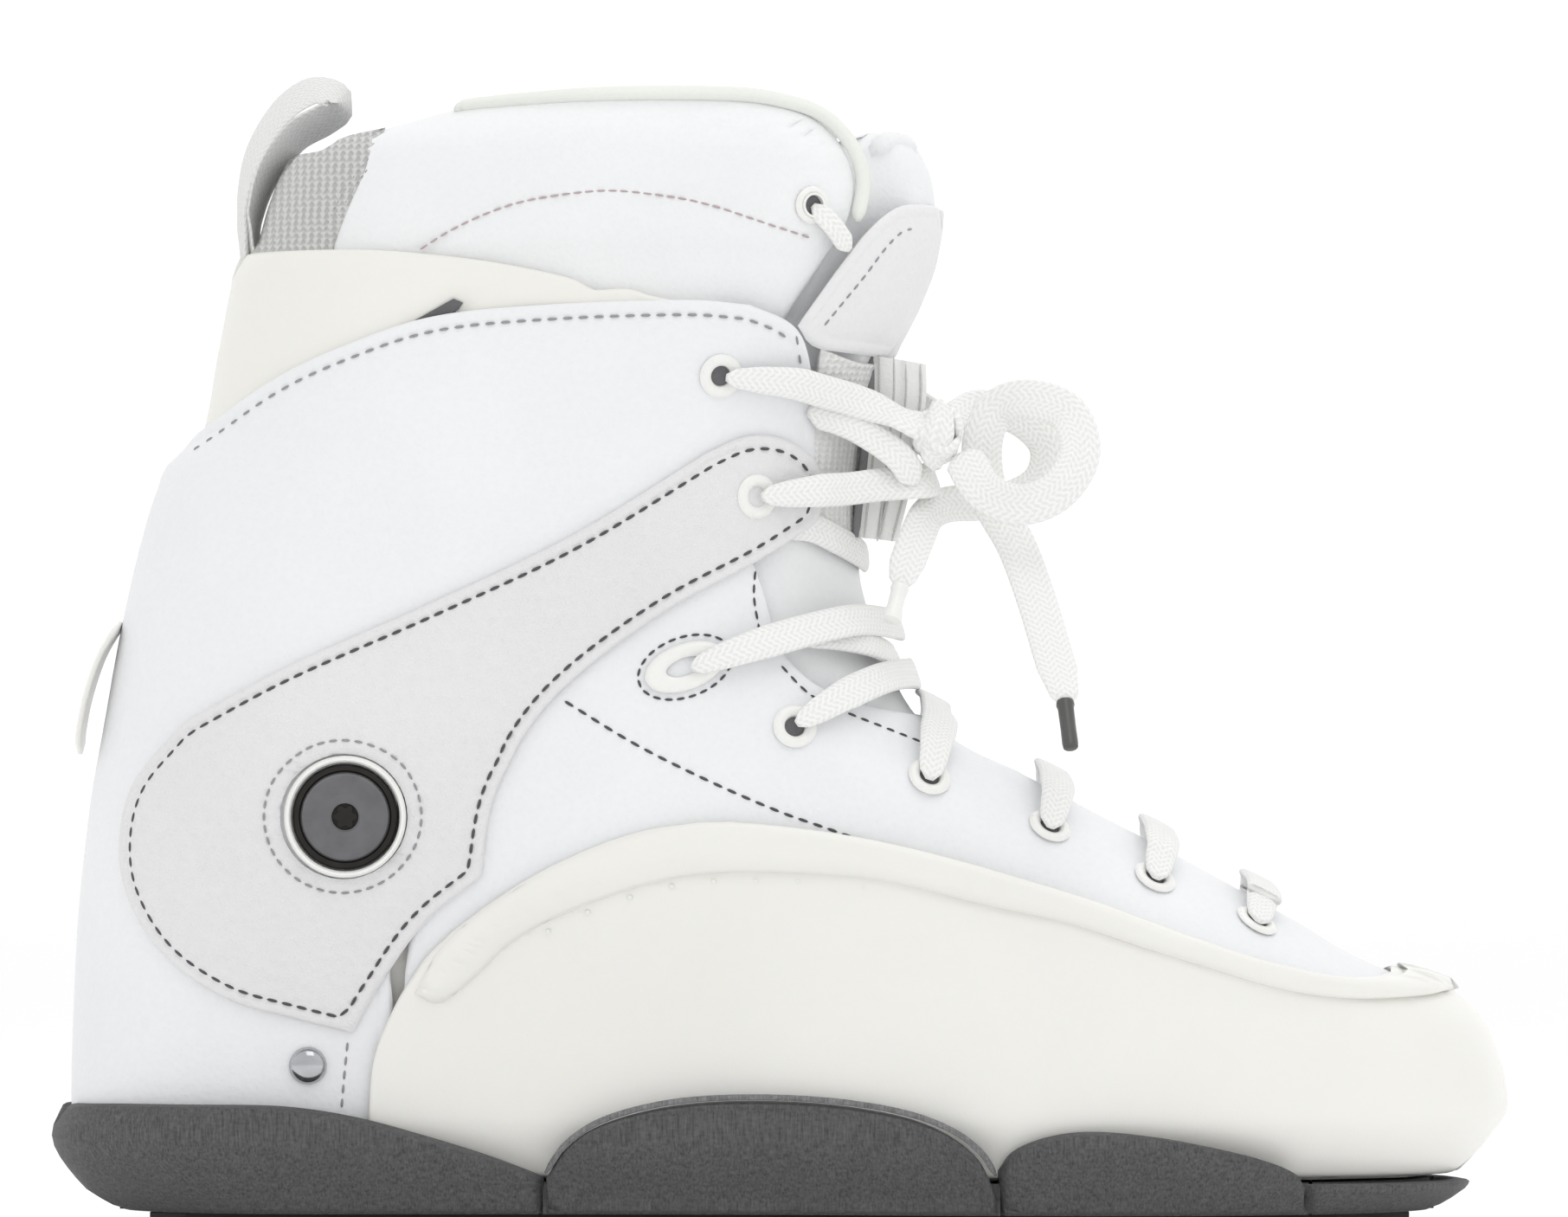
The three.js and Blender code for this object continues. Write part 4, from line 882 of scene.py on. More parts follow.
def knot():
    """The bow's knot: three wraps of lace round one another."""
    at = Vector((33.8, -25.2, 172))
    wraps = [((4.6, 3.0, 7.4), 0.25, 6.4), ((3.4, 4.0, 5.2), 1.25, 6.0)]
    pieces = []
    for k, (size, tilt, width) in enumerate(wraps):
        a = np.linspace(0, 2 * math.pi, 60)
        turn = Quaternion((0, 1, 0), tilt)
        line = [at + turn @ Vector((size[0] * math.cos(t), size[1] * math.sin(t) * 0.9,
                                    size[2] * 0.55 * math.sin(t) + 0.8 * math.sin(2 * t))) for t in a]
        normals = [(p - at).normalized() for p in line]
        pieces.append(ribbon(f"lace_knot_wrap_{k + 1}", [tuple(p) for p in line], normals, width, 2.2,
                             LACE, "cuff"))
    core = []
    for k in range(40):
        f = k / 39
        core.append(at + Vector((0.6 * math.sin(f * 6), -1.0 + 1.2 * math.cos(f * 5), 7.4 - 14.8 * f)))
    pieces.append(ribbon("lace_knot_core", [tuple(p) for p in core], [Vector((0.2, -1, 0.1))] * 40, 7.6, 4.4,
                         LACE, "cuff", widths=[(0, 0.6), (0.5, 1.0), (1, 0.6)]))
    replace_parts(pieces[0], "lace_knot")


lace_bars()
lace_crossings()
lace_strands()
knot()


# ------------------------------------------------------------------ leather and plastic panels
WRAP_TOP = [(-150, 162), (-133, 168.6), (-125, 173.4), (-110, 183.5), (-95, 190.5), (-75, 197),
            (-50, 199.6), (-20, 200.6), (-6, 199.6)]
WRAP_FRONT = [(-6, 199.6), (3, 195.6), (6.6, 189), (8, 175), (8, 160)]
COVER_LINE = [(-87, 12.4), (-87, 30), (-85, 42), (-77, 58), (-64, 70), (-48, 80), (-30, 87), (-12, 89)]
SOLE_Z = 12


def wrap_leather():
    """One leather skin from the cuff round the heel."""
    edge = outline(
        (True, (back_at(160.5), 160.8), *WRAP_TOP[1:]),
        (True, *WRAP_FRONT),
        (True, (8, 160), (2, 152), (-20, 143), (-45, 130), (-68, 112), (-82, 92), (-84, 70), (-83, 44)),
        (False, (-83, 44), (-83, SOLE_Z + 1), (back_at(SOLE_Z + 1), SOLE_Z + 1)),
    )
    skin = panel("wrap_leather", edge, LEATHER, *LAYERS["leather"], "heel", wrap=True, round_edge=1.1,
                 groove=(3.2, 0.22, 1.2))
    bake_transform(skin)
    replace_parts(skin, "heel_skin", "cuff_skin")


STRAP_BACK = [(-91, 43.5), (-103, 46.5), (-118, 51), (-131, 60), (-139, 73), (-140.5, 86), (-137, 98),
              (-127, 110)]
STRAP_TOP = [(-127, 110), (-105, 122), (-75, 135.5), (-45, 150), (-16, 168)]
STRAP_NOSE = [(-16, 168), (-8, 171.4), (0, 171), (6, 167), (8.4, 161), (7, 153)]
STRAP_UNDER = [(7, 153), (-5, 145), (-25, 134), (-45, 119), (-56, 106), (-62, 92), (-64, 77)]
STRAP_FOOT = [(-64, 77), (-75, 68), (-84, 56), (-91, 43.5)]


def strap_edge():
    return outline((True, *STRAP_BACK), (True, *STRAP_TOP), (True, *STRAP_NOSE), (True, *STRAP_UNDER),
                   (True, *STRAP_FOOT))


def strap_panel(side, where):
    px, pz = PIVOT.x, PIVOT.z
    piece = panel(f"strap_{where}_leather", strap_edge(), STRAP, *LAYERS["strap"], "heel", side=side,
                  round_edge=1.2, groove=(2.8, 0.3, 1.0), holes=[circle(px, pz, 13.4)],
                  extra=lambda p, d: 0.5 * smooth(4, 14, d), slot="strap_leather")
    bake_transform(piece)
    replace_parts(piece, f"strap_{where}")
    line = inset(strap_edge(), 2.8)
    line = np.vstack([line, line[:1]])
    sewn = thread_run(f"strap_{where}_stitch", line, 1.95, THREAD, side, body=None)
    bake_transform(sewn)
    ring = circle(px, pz, 16.4, 90)
    thread_run(f"pivot_{where}_stitch", np.vstack([ring, ring[:1]]), 2.1, THREAD_PALE, side, 2.6, 1.8, 0.6,
               body="cuff")


def throat_edge(z, half=THROAT_HALF, d=0.0):
    """Where the form is half wide at height z, near its front."""
    _, back, front = BOOT.section(z, d)
    lo, hi = (float(front) + float(back)) / 2, float(front)
    for _ in range(30):
        mid = (lo + hi) / 2
        if float(BOOT.half(np.array(mid), np.array(z), d)) > half:
            lo = mid
        else:
            hi = mid
    return lo


def vamp_leather():
    throat = [(throat_edge(z, THROAT_HALF), z) for z in np.linspace(104, 69, 14)]
    front_z = 66.5
    edge = outline(
        (True, *throat[3:], (throat_edge(front_z, 7), front_z), (front_at(65.5), 65.5)),
        (False, (front_at(65.5), 65.5), (front_at(44), 44)),
        (True, (front_at(44), 44), (122, 42), (95, 46), (60, 58), (20, 68), (-10, 70), (-45, 62),
         (-81, 40)),
        (True, (-81, 40), (-80, 60), (-75, 82), (-64, 102), (-46, 120), (-25, 136), (-6, 146)),
        (True, (-6, 146), (-3, 138), (0, 126)),
        (True, (0, 126), (8, 118.5), (20, 113.8), (throat[3][0] - 3, 106), throat[3]),
    )
    # the outline starts and ends on the toe's middle line, where its two halves meet
    edge = edge[::-1]
    start = int(np.argmax((np.abs(edge[:, 1] - 65.5) < 0.4) & (edge[:, 0] > front_at(65.5) - 0.5)))
    edge = np.roll(edge, -start, axis=0)
    cut = int(np.argmin(np.hypot(edge[:, 0] - front_at(44), edge[:, 1] - 44)))
    edge = edge[:cut + 1] if cut > len(edge) // 2 else np.vstack([edge[:1], edge[cut:]])
    skin = panel("vamp_leather", edge, LEATHER, *LAYERS["leather"], "toe", wrap=True, round_edge=1.1)
    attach(skin, "boot")
    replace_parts(skin, "vamp")


LIP = [(-71, 50.5), (-64, 58), (-57.5, 63), (-49.5, 67.5), (-41, 71.6), (-32, 74.7), (-23, 77), (-14, 78),
       (-5, 78), (4, 77.8), (18, 76.4), (41, 71), (59, 67), (77, 61), (87, 58), (99, 54), (107, 52.7),
       (117, 51), (125, 51), (133, 51.2), (138, 53), (141, 54.8)]


def side_shell():
    """The slick outer plate round the foot: raised brim above a long moulded lip."""
    edge = outline(
        (True, (front_at(55.2), 55.4), (131, 58.4), (126, 55.5), (112, 56.2), (96, 60), (60, 73),
         (20, 84.5), (-12, 89)),
        (True, *COVER_LINE[::-1]),
        (False, COVER_LINE[0], (front_at(12.6), 12.6)),
    )
    lip = spline(LIP, 200)
    shell = panel("side_shell_plate", edge, SHELL, *LAYERS["plate"], "toe", wrap=True, round_edge=1.0,
                  spacing=2.2, extra=lambda p, d: -0.5 * np.exp(-(gap_to(lip, p) / 1.2) ** 2), slot="plastic")
    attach(shell, "boot")
    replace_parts(shell, "side_shell")
    brim = outline(
        (True, (front_at(54.6), 55.2), (131, 58.2), (126, 55.3), (112, 56), (96, 59.8), (60, 72.8),
         (20, 84.3), (-12, 88.8), (-30, 86.7), (-48, 79.6), (-64, 69.5), (-74, 59.5), (-77.5, 52)),
        (True, (-77.5, 52), (-71, 50.5), (-57.5, 63), (-41, 71.6), (-23, 77), (-5, 78), (18, 76.4),
         (41, 71), (59, 67), (77, 61), (99, 54), (117, 51), (133, 51.2), (front_at(52) - 3, 52),
         (front_at(52), 52)),
    )
    band = panel("side_shell_brim", brim, SHELL, *LAYERS["brim"], "toe", wrap=True, round_edge=1.5,
                 spacing=1.8, extra=lambda p, d: 0.7 * smooth(0.3, 4.5, d), slot="plastic")
    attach(band, "boot")
    for side, where in SIDES:
        for k, (x, z) in enumerate(LIP[3:11]):
            p, n, _ = side_frame(x, z - 1.6, side, 0.0)
            lathe(f"side_shell_{where}_dot_{k + 1}", [(0, 2.3), (0.55, 2.3), (0.5, 2.62), (0, 2.66)], p, n,
                  PIPING, "boot", 12, closed=False)


wrap_leather()
mirror_sides(strap_panel)
vamp_leather()
side_shell()
bpy.context.view_layer.update()


# ------------------------------------------------------------------ cuff, collar, tongue
CUFF_TOP = [(-118.4, 211.3), (-100, 211.6), (-85, 211.2), (-64, 209), (-46, 205.6), (-41, 203.4)]


def cuff_plastic():
    edge = outline(
        (True, (back_at(211.2), 211.2), *CUFF_TOP[1:]),
        (True, CUFF_TOP[-1], (-38.5, 202.8), (-32, 203), (-27, 201.6), (-20, 200.2), (-12, 199),
         (-5, 193)),
        (True, (-5, 193), (-4, 172), (-8, 150)),
        (False, (-8, 150), (-66, 121), (-120, 112), (back_at(112), 112)),
    )
    slot = outline((True, (-80, 194.6), (-74, 198.4), (-70.4, 200.8), (-68.2, 200.6), (-67.6, 198.8),
                    (-71.6, 196.4), (-80, 194.6)))[:-1]

    def relief(p, d):
        dip = np.zeros(len(p))
        for x, z in slot:
            dip = np.maximum(dip, np.exp(-(np.hypot(p[:, 0] - x, p[:, 2] - z) / 1.6) ** 2))
        ridge = 0.35 * smooth(1.2, 3.2, d) - 0.35 * smooth(5.2, 7.4, d)
        return ridge - 0.9 * dip
    shell = panel("cuff_plastic_shell", edge, CUFF, *LAYERS["cuff"], "heel", wrap=True, round_edge=1.1,
                  spacing=2.4, extra=relief, slot="plastic")
    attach(shell, "cuff")
    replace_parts(shell, "cuff_shell")
    # a thin dark sheet under the slot dip in the cuff plastic: painted shade in the cuff slot
    notch_shade = outline((False, (-79, 196.2), (-70.4, 200.9)),
                    (False, (-70.4, 200.9), (-67.8, 199.8), (-71, 197.2)),
                    (False, (-71, 197.2), (-79, 196.2)))
    for side, where in SIDES:
        pit = panel(f"cuff_{where}_notch", notch_shade, HOLE_SHADE, *LAYERS["notch_shade"], "heel", side=side,
                    round_edge=0.3, spacing=1.2, slot="plastic")
        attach(pit, "cuff")


COLLAR_TOP = [(-104, 233.6), (-95, 236.6), (-82, 239.8), (-68, 243.2), (-40, 245.2), (-10, 245.4), (3, 244),
              (12, 241), (18.2, 234.8), (20.8, 227), (19.4, 218), (14.6, 210), (4, 194), (-4, 176)]
COLLAR_STITCH = [(-79, 211.3), (-71, 216), (-60, 220.5), (-50, 222.7), (-37, 224), (-25, 223), (-14, 221),
                 (0, 216.7), (9, 214)]


def collar():
    """Padded leather collar of the inner boot with its roll, piping and sewn arc."""
    edge = outline(
        (True, (back_at(231.4), 231.4), *COLLAR_TOP),
        (True, (-4, 176), (-6, 150), (-14, 122)),
        (False, (-14, 122), (-60, 104), (-120, 104), (back_at(104), 104)),
    )
    arc = spline(COLLAR_STITCH, 120)

    def relief(p, d):
        puff = 1.5 * smooth(0.5, 7, d) * smooth(209, 216, p[:, 2]) * smooth(-104, -84, p[:, 0])
        seam = 0.9 * np.exp(-(gap_to(arc, p) / 1.5) ** 2) * (p[:, 2] > 208)
        edge_seam = 0.7 * np.exp(-((d - 4.2) / 0.9) ** 2) * (p[:, 2] > 212)
        return puff - seam - edge_seam
    liner = panel("collar_padding", edge, LINER, *LAYERS["collar"], "heel", wrap=True, round_edge=3.2,
                  spacing=2.4, extra=relief, slot="liner_foam")
    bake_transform(liner)
    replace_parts(liner, "liner_cuff")
    for side, where in SIDES:
        rim = spline([(-72, 242.0)] + COLLAR_TOP[3:11], 160)
        points, normals = [], []
        for x, z in rim:
            p, n, _ = side_frame(x, z - 0.4, side, -3.6)
            points.append(tuple(p))
            normals.append(n)
        ribbon(f"collar_{where}_piping", points, normals, 3.0, 2.6, PIPING, "cuff",
               sides=14)
        thread_run(f"collar_{where}_stitch", arc, -3.4, THREAD_ROSE, side, 2.6, 1.9, 0.5, 0.25,
                   body="cuff")
        seam = spline([(-100.4, 214), (-97.6, 220), (-94, 226), (-89.6, 231.4)], 60)
        for k, dx in enumerate((-0.9, 0.9)):
            thread_run(f"back_seam_{where}_{k + 1}", seam + (dx, 0), -3.55, THREAD_PALE, side, 1.5, 1.1,
                       0.5, 0.3, body="cuff")


def back_knit():
    """Ribbed cloth let into the back of the collar."""
    edge = outline(
        (True, (back_at(232.5), 232.5), (-101.7, 233.4), (-97, 236.2), (-88, 238)),
        (True, (-88, 238), (-91, 229), (-95.4, 220.5), (-98.6, 213), (-99.4, 206)),
        (False, (-99.4, 206), (back_at(206), 206)),
    )
    cloth = panel("back_knit_panel", edge, KNIT, *LAYERS["knit"], "heel", wrap=True, round_edge=0.6,
                  spacing=2.2, slot="knit")
    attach(cloth, "cuff")


def tongue():
    """The tongue under the laces, with a binding at its top that turns with the shin."""
    rows = np.linspace(233, 64, 60)
    side_edge = [(throat_edge(z, float(np.interp(z, [64, 74, 104, 118, 233], [18, 20, 24, 37, 37])), -2.2), z)
                 for z in rows]
    top_z = 236.5
    edge = outline(
        (True, (front_at(top_z), top_z), (throat_edge(237.2, 12, -2.2), 237.2),
         (throat_edge(236, 20, -2.2), 236), side_edge[0]),
        (True, *side_edge[::4], side_edge[-1]),
        (True, side_edge[-1], (throat_edge(60, 10, -2.2), 60), (front_at(58), 58)),
    )

    def puff(p, d):
        aside = np.abs(p[:, 1] - swing(p[:, 0]))
        tuck = 5.4 * smooth(19, 26, aside) * smooth(176, 196, p[:, 2])
        return 0.7 * smooth(1, 10, d) - 0.4 * np.exp(-((d - 5) / 0.8) ** 2) - tuck
    cloth = panel("tongue_pad", edge, TONGUE, *LAYERS["tongue"], "toe", wrap=True, round_edge=2.4,
                  spacing=2.6, extra=puff, slot="knit")
    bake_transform(cloth)
    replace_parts(cloth, "tongue")
    top = edge[(edge[:, 1] > 214) & (edge[:, 0] < along(FRONT, edge[:, 1]) + 1)]
    for side, where in SIDES:
        places = [(x, z) for x, z in resample(top, 70)
                  if float(BOOT.half(np.array(x), np.array(z), 0.0)) < 24]
        points, normals = over_form([(x, z, -5.6) for x, z in places], side, -5.6)
        ribbon(f"tongue_{where}_binding", points, normals, 4.6, 8.4, TONGUE, "cuff", sides=16)
    leaf = outline(
        (True, (front_at(221), 221), (throat_edge(221.6, 12), 221.6), (26.4, 221), (20.4, 216.4),
         (15, 209.8), (9, 201.6), (4.4, 195.2)),
        (True, (4.4, 195.2), (7.8, 190.8), (16, 189.4), (front_at(188.5), 188.5)),
    )
    flap = panel("tongue_leaf_flap", leaf, LEAF, *LAYERS["over_tongue"], "toe", wrap=True,
                 round_edge=0.9, spacing=2.4, groove=(2.6, 0.25, 1.0), slot="knit")
    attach(flap, "cuff")
    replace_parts(flap, "tongue_leaf")
    sewn = [(29, 216.4), (26.4, 215.8), (22.6, 212), (18.4, 206.3), (13.6, 200.4), (9.2, 195)]
    for side, where in SIDES:
        thread_run(f"tongue_leaf_{where}_stitch", spline(sewn, 60), 0.2, THREAD_PALE, side, 2.4, 1.7,
                   0.55, body="cuff")


def pull_loop():
    """Webbing loop, folded over and sewn down on the back of the collar."""
    path = spline([(-114.6, 207), (-115.6, 214), (-116.1, 222), (-113.9, 232.4), (-108.2, 241.8),
                   (-101.4, 246.6), (-96.2, 245.6), (-95.0, 243.2), (-98.6, 240.4), (-105, 236.6),
                   (-110.9, 228.6),
                   (-113.9, 220), (-114.2, 212), (-113.6, 207)], 150)
    points = [(x, -2.0, z) for x, z in path]
    normals = []
    for k in range(len(path)):
        t = path[min(k + 1, len(path) - 1)] - path[max(k - 1, 0)]
        normals.append(Vector((-t[1], -0.14 * abs(t[1]) - 0.34 * abs(t[0]), t[0])).normalized())
    loop = ribbon("pull_loop_webbing", points, normals, 18, 1.3, WEBBING, "cuff", sides=22)
    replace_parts(loop, "pull_loop")


def ankle_band():
    """Mesh ankle strap across the tongue with its folded hook end."""
    edge = outline(
        (True, (front_at(187.4), 187.4), (17.6, 187.6), (9.4, 190.4)),
        (True, (9.4, 190.4), (7.4, 172), (7.8, 151)),
        (True, (7.8, 151), (14, 150.6), (front_at(150.4), 150.4)),
    )
    band = panel("ankle_strap_mesh", edge, MESH, *LAYERS["over_tongue"], "toe", wrap=True,
                 round_edge=0.7, spacing=2.2, groove=(1.8, 0.2, 0.8), slot="strap_mesh")
    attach(band, "cuff")
    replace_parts(band, "ankle_strap")
    left = [(20.2, 189.2), (20.2, 181), (19.4, 172), (18.2, 161), (17, 149.9)]
    right = [(31.6, 187.2), (31.6, 180), (30.5, 171.6), (28.2, 160.4), (25.4, 149)]
    verts, faces, n = [], [], 46
    a, b = spline(left, n), spline(right, n)
    across = 20
    for k in range(n):
        for m in range(across):
            f = m / (across - 1)
            x, z = a[k] * (1 - f) + b[k] * f
            rise = 0.55 * abs(math.sin(f * math.pi)) - 0.75 * math.exp(-((f - 0.5) / 0.07) ** 2)
            edge_fall = 0.5 * (math.exp(-f / 0.05) + math.exp(-(1 - f) / 0.05))
            y = -18.6 - rise + edge_fall
            verts.append((x, y, z))
    back = [(v[0], -7.5, v[2]) for v in verts]
    total = len(verts)
    for k in range(n - 1):
        for m in range(across - 1):
            q = k * across + m
            faces.append((q, q + 1, q + across + 1, q + across))
            faces.append((q + total, q + total + across, q + total + across + 1, q + total + 1))
    rim = (list(range(across)) + [k * across + across - 1 for k in range(1, n)]
           + [(n - 1) * across + m for m in range(across - 2, -1, -1)]
           + [k * across for k in range(n - 2, 0, -1)])
    for k in range(len(rim)):
        i, j = rim[k], rim[(k + 1) % len(rim)]
        faces.append((i, i + total, j + total, j))
    tab = make("ankle_strap_hook_end", verts + back, faces, TAB, "cuff", split=50)
    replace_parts(tab, "ankle_strap_end")
    lines = [spline([(x + dx, z) for x, z in left], 60) for dx in (1.2, 4.4)] + [
        spline([(x - dx, z) for x, z in right], 60) for dx in (1.2, 4.4)]
    for k, line in enumerate(lines):
        points = [(x, -18.95, z) for x, z in line]
        ribbon(f"ankle_strap_stitch_{k + 1}", points, [Vector((0, -1, 0))] * len(points), 0.5, 0.5,
               THREAD_WHITE, "cuff", sides=8)
    pile = [(x - 0.5, -17.6, z) for x, z in spline(left, 60)]
    ribbon("ankle_strap_hook_pile", pile, [Vector((0, -1, 0))] * len(pile), 2.0, 1.6, PILE, "cuff",
           sides=10)


def rear_clip():
    """Curved guard plate on the heel cord with a gap behind it."""
    outer = spline([(-142.2, 131.6), (-146.4, 124.6), (-149.4, 116), (-151.0, 108), (-151.2, 103)], 60)
    points = [(x - 0.3, -2, z) for x, z in outer]
    normals = []
    for k in range(len(outer)):
        t = outer[min(k + 1, len(outer) - 1)] - outer[max(k - 1, 0)]
        normals.append(Vector((t[1], 0, -t[0])).normalized())
    plate = ribbon("rear_clip_plate", points, normals, 26, 1.9, SHELL, "cuff", sides=24,
                   widths=[(0, 0.75), (0.12, 1), (0.85, 1), (1, 0.8)])
    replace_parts(plate, "rear_clip")


def inner_boot():
    """What shows down the collar: the padded sock; the footbed and heel pad stay as CAD parts."""
    toe = front_at(40)
    edge = outline(
        (True, (back_at(129), 129), (-110, 129.6), (-60, 130), (-12, 130)),
        (True, (-12, 130), (6, 108), (40, 80), (80, 60), (112, 49), (toe - 14, 45), (toe, 44)),
        (False, (toe, 44), (front_at(18), 18), (back_at(18), 18)),
    )
    sock = panel("liner_foot_padding", edge, LINING, *LAYERS["sock"], "heel", wrap=True, round_edge=2.0,
                 spacing=3.4, slot="liner_foam")
    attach(sock, "boot")
    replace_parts(sock, "liner_foot")


cuff_plastic()
collar()
inner_boot()
back_knit()
tongue()
pull_loop()
ankle_band()
rear_clip()


# ------------------------------------------------------------------ eyelets, pivot, rivets
def eyelet(name, x, z, side, lift, body, node, big=4.6):
    p, n, _ = side_frame(x, z, side, 0.0)
    flange = [(2.2, -1.2), (2.7, -1.2), (2.7, 0.1), (big, 0.15), (big + 0.15, 0.5), (big - 0.2, 0.95),
              (big - 0.9, 1.2), (2.9, 1.15), (2.35, 0.8), (2.15, 0.2)]
    profile = [(r, h + (lift if h > 0 else -0.2)) for r, h in flange]
    ring = lathe(name, profile, p, n, ENAMEL, body, 40)
    if node:
        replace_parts(ring, node)
    # a dark disc inside the ring: painted shade for the eyelet hole
    hole = [(0, lift + 0.22), (2.35, lift + 0.22), (2.35, lift - 0.6), (0, lift - 0.6)]
    lathe(name + "_hole", hole, p, n, HOLE_SHADE, body, 20, closed=False)


def all_eyelets(side, where):
    for k, (x, z) in enumerate(EYELETS):
        eyelet(f"eyelet_{k + 1}_{where}_ring", x, z, side, 0.0, "boot", f"eyelet_{k + 1}_{where}")
    eyelet(f"eyelet_cuff_1_{where}_ring", *CUFF_EYELETS[0], side, 2.05, "cuff", f"eyelet_cuff_1_{where}")
    eyelet(f"eyelet_cuff_2_{where}_ring", *CUFF_EYELETS[1], side, 0.0, "cuff", f"eyelet_cuff_2_{where}")
    eyelet(f"eyelet_liner_{where}_ring", *LINER_EYELET, side, -2.9, "cuff", None, 3.9)


def oval_loop():
    """Oval lace keeper above the instep."""
    p, n, forward = side_frame(*OVAL, -1, 0.0)
    up = n.cross(forward).normalized()
    if up.z < 0:
        up.negate()
    tilt = math.radians(20)
    ax = forward * math.cos(tilt) + up * math.sin(tilt)
    az = up * math.cos(tilt) - forward * math.sin(tilt)
    section = [(4.3, 2.0, 0.35), (4.2, 1.9, 0.9), (4.9, 2.5, 1.35), (7.6, 3.9, 1.4), (8.8, 4.8, 1.05),
               (9.0, 5.0, 0.6), (8.8, 4.8, 0.35)]
    verts, steps = [], 64
    for k in range(steps):
        a = 2 * math.pi * k / steps
        for rx, rz, h in section:
            verts.append(p + ax * rx * math.cos(a) + az * rz * math.sin(a) + n * h)
    faces = turned_faces(steps, len(section))
    ring = make("lace_loop_oval_ring", verts, faces, ENAMEL, "boot", split=50)
    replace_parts(ring, "lace_loop_oval")
    a = np.linspace(0, 2 * math.pi, 80)
    dx, dz = 10.6 * np.cos(a), 6.4 * np.sin(a)
    line = np.stack([OVAL[0] + dx * math.cos(tilt) - dz * math.sin(tilt),
                     OVAL[1] + dx * math.sin(tilt) + dz * math.cos(tilt)], -1)
    thread_run("lace_loop_oval_stitch", line, 0.1, THREAD, -1, 2.5, 1.8, 0.6, body="boot")


def pivot(side, where):
    """Lean bolt: enamel ring, turned disc and its driver socket, a flush dark star of painted shade."""
    x, z = PIVOT.x, PIVOT.z
    y = float(swing(x) + side * BOOT.half(np.array(x), np.array(z), 0.0))
    at, out = (x, y, z), (0, side, 0)
    band = [(11.7, -0.8), (13.0, -0.8), (13.1, 1.6), (13.0, 2.5), (12.6, 3.0), (12.1, 3.0), (11.75, 2.5),
            (11.65, 1.5)]
    ring = lathe(f"pivot_ring_{where}_band", band, at, out, ENAMEL, "cuff", 72)
    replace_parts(ring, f"pivot_ring_{where}")
    recess = lathe(f"pivot_bolt_{where}_seat", [(0, -0.8), (11.3, -0.8), (11.3, 1.3), (10.9, 1.6), (9.9, 1.5),
                                                (9.7, 0.9), (0, 0.9)], at, out, DARK_SEAT_AND_SOCKET_SHADE, "cuff", 72,
                   closed=False)
    grooves = [(9.5, 0.9), (9.5, 1.5)]
    for k in range(9):
        r = 9.2 - 0.72 * k
        grooves += [(r, 1.78 - 0.02 * (k % 2)), (r - 0.36, 1.66)]
    grooves += [(3.1, 1.75), (2.9, 1.7), (2.8, 0.3), (0, 0.3)]
    lathe(f"pivot_bolt_{where}_disc", grooves, at, out, STEEL_LOOK, "cuff", 72, closed=False)
    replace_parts(recess, f"pivot_bolt_{where}")
    # the driver socket: a solid dark star flush with the disc, painted shade for the hole
    verts, faces = [], []
    for k in range(48):
        a = 2 * math.pi * k / 48
        r = 2.25 + 0.42 * math.cos(6 * a)
        verts += [(x + r * math.cos(a), y + side * 0.5, z + r * math.sin(a)),
                  (x + r * math.cos(a), y + side * 1.72, z + r * math.sin(a))]
    for k in range(48):
        q, w = 2 * k, 2 * ((k + 1) % 48)
        faces.append((q, q + 1, w + 1, w))
    faces.append(tuple(2 * k for k in range(48)))
    faces.append(tuple(2 * k + 1 for k in reversed(range(48))))
    make(f"pivot_bolt_{where}_socket", verts, faces, DARK_SEAT_AND_SOCKET_SHADE, "cuff", split=40)


def rivet(side, where):
    p, n, _ = side_frame(*RIVET, side, 0.0)
    dome = [(0, -2.6), (2, -2.6), (2, 0.1), (3.9, 0.1), (4.05, 0.5), (3.8, 1.2), (3.2, 1.9), (2.2, 2.45),
            (1.1, 2.7), (0, 2.78)]
    head = lathe(f"rivet_{where}_head", dome, p, n, CHROME, "boot", 48, closed=False)
    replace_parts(head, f"rivet_{where}")


mirror_sides(all_eyelets)
oval_loop()
mirror_sides(pivot)
mirror_sides(rivet)


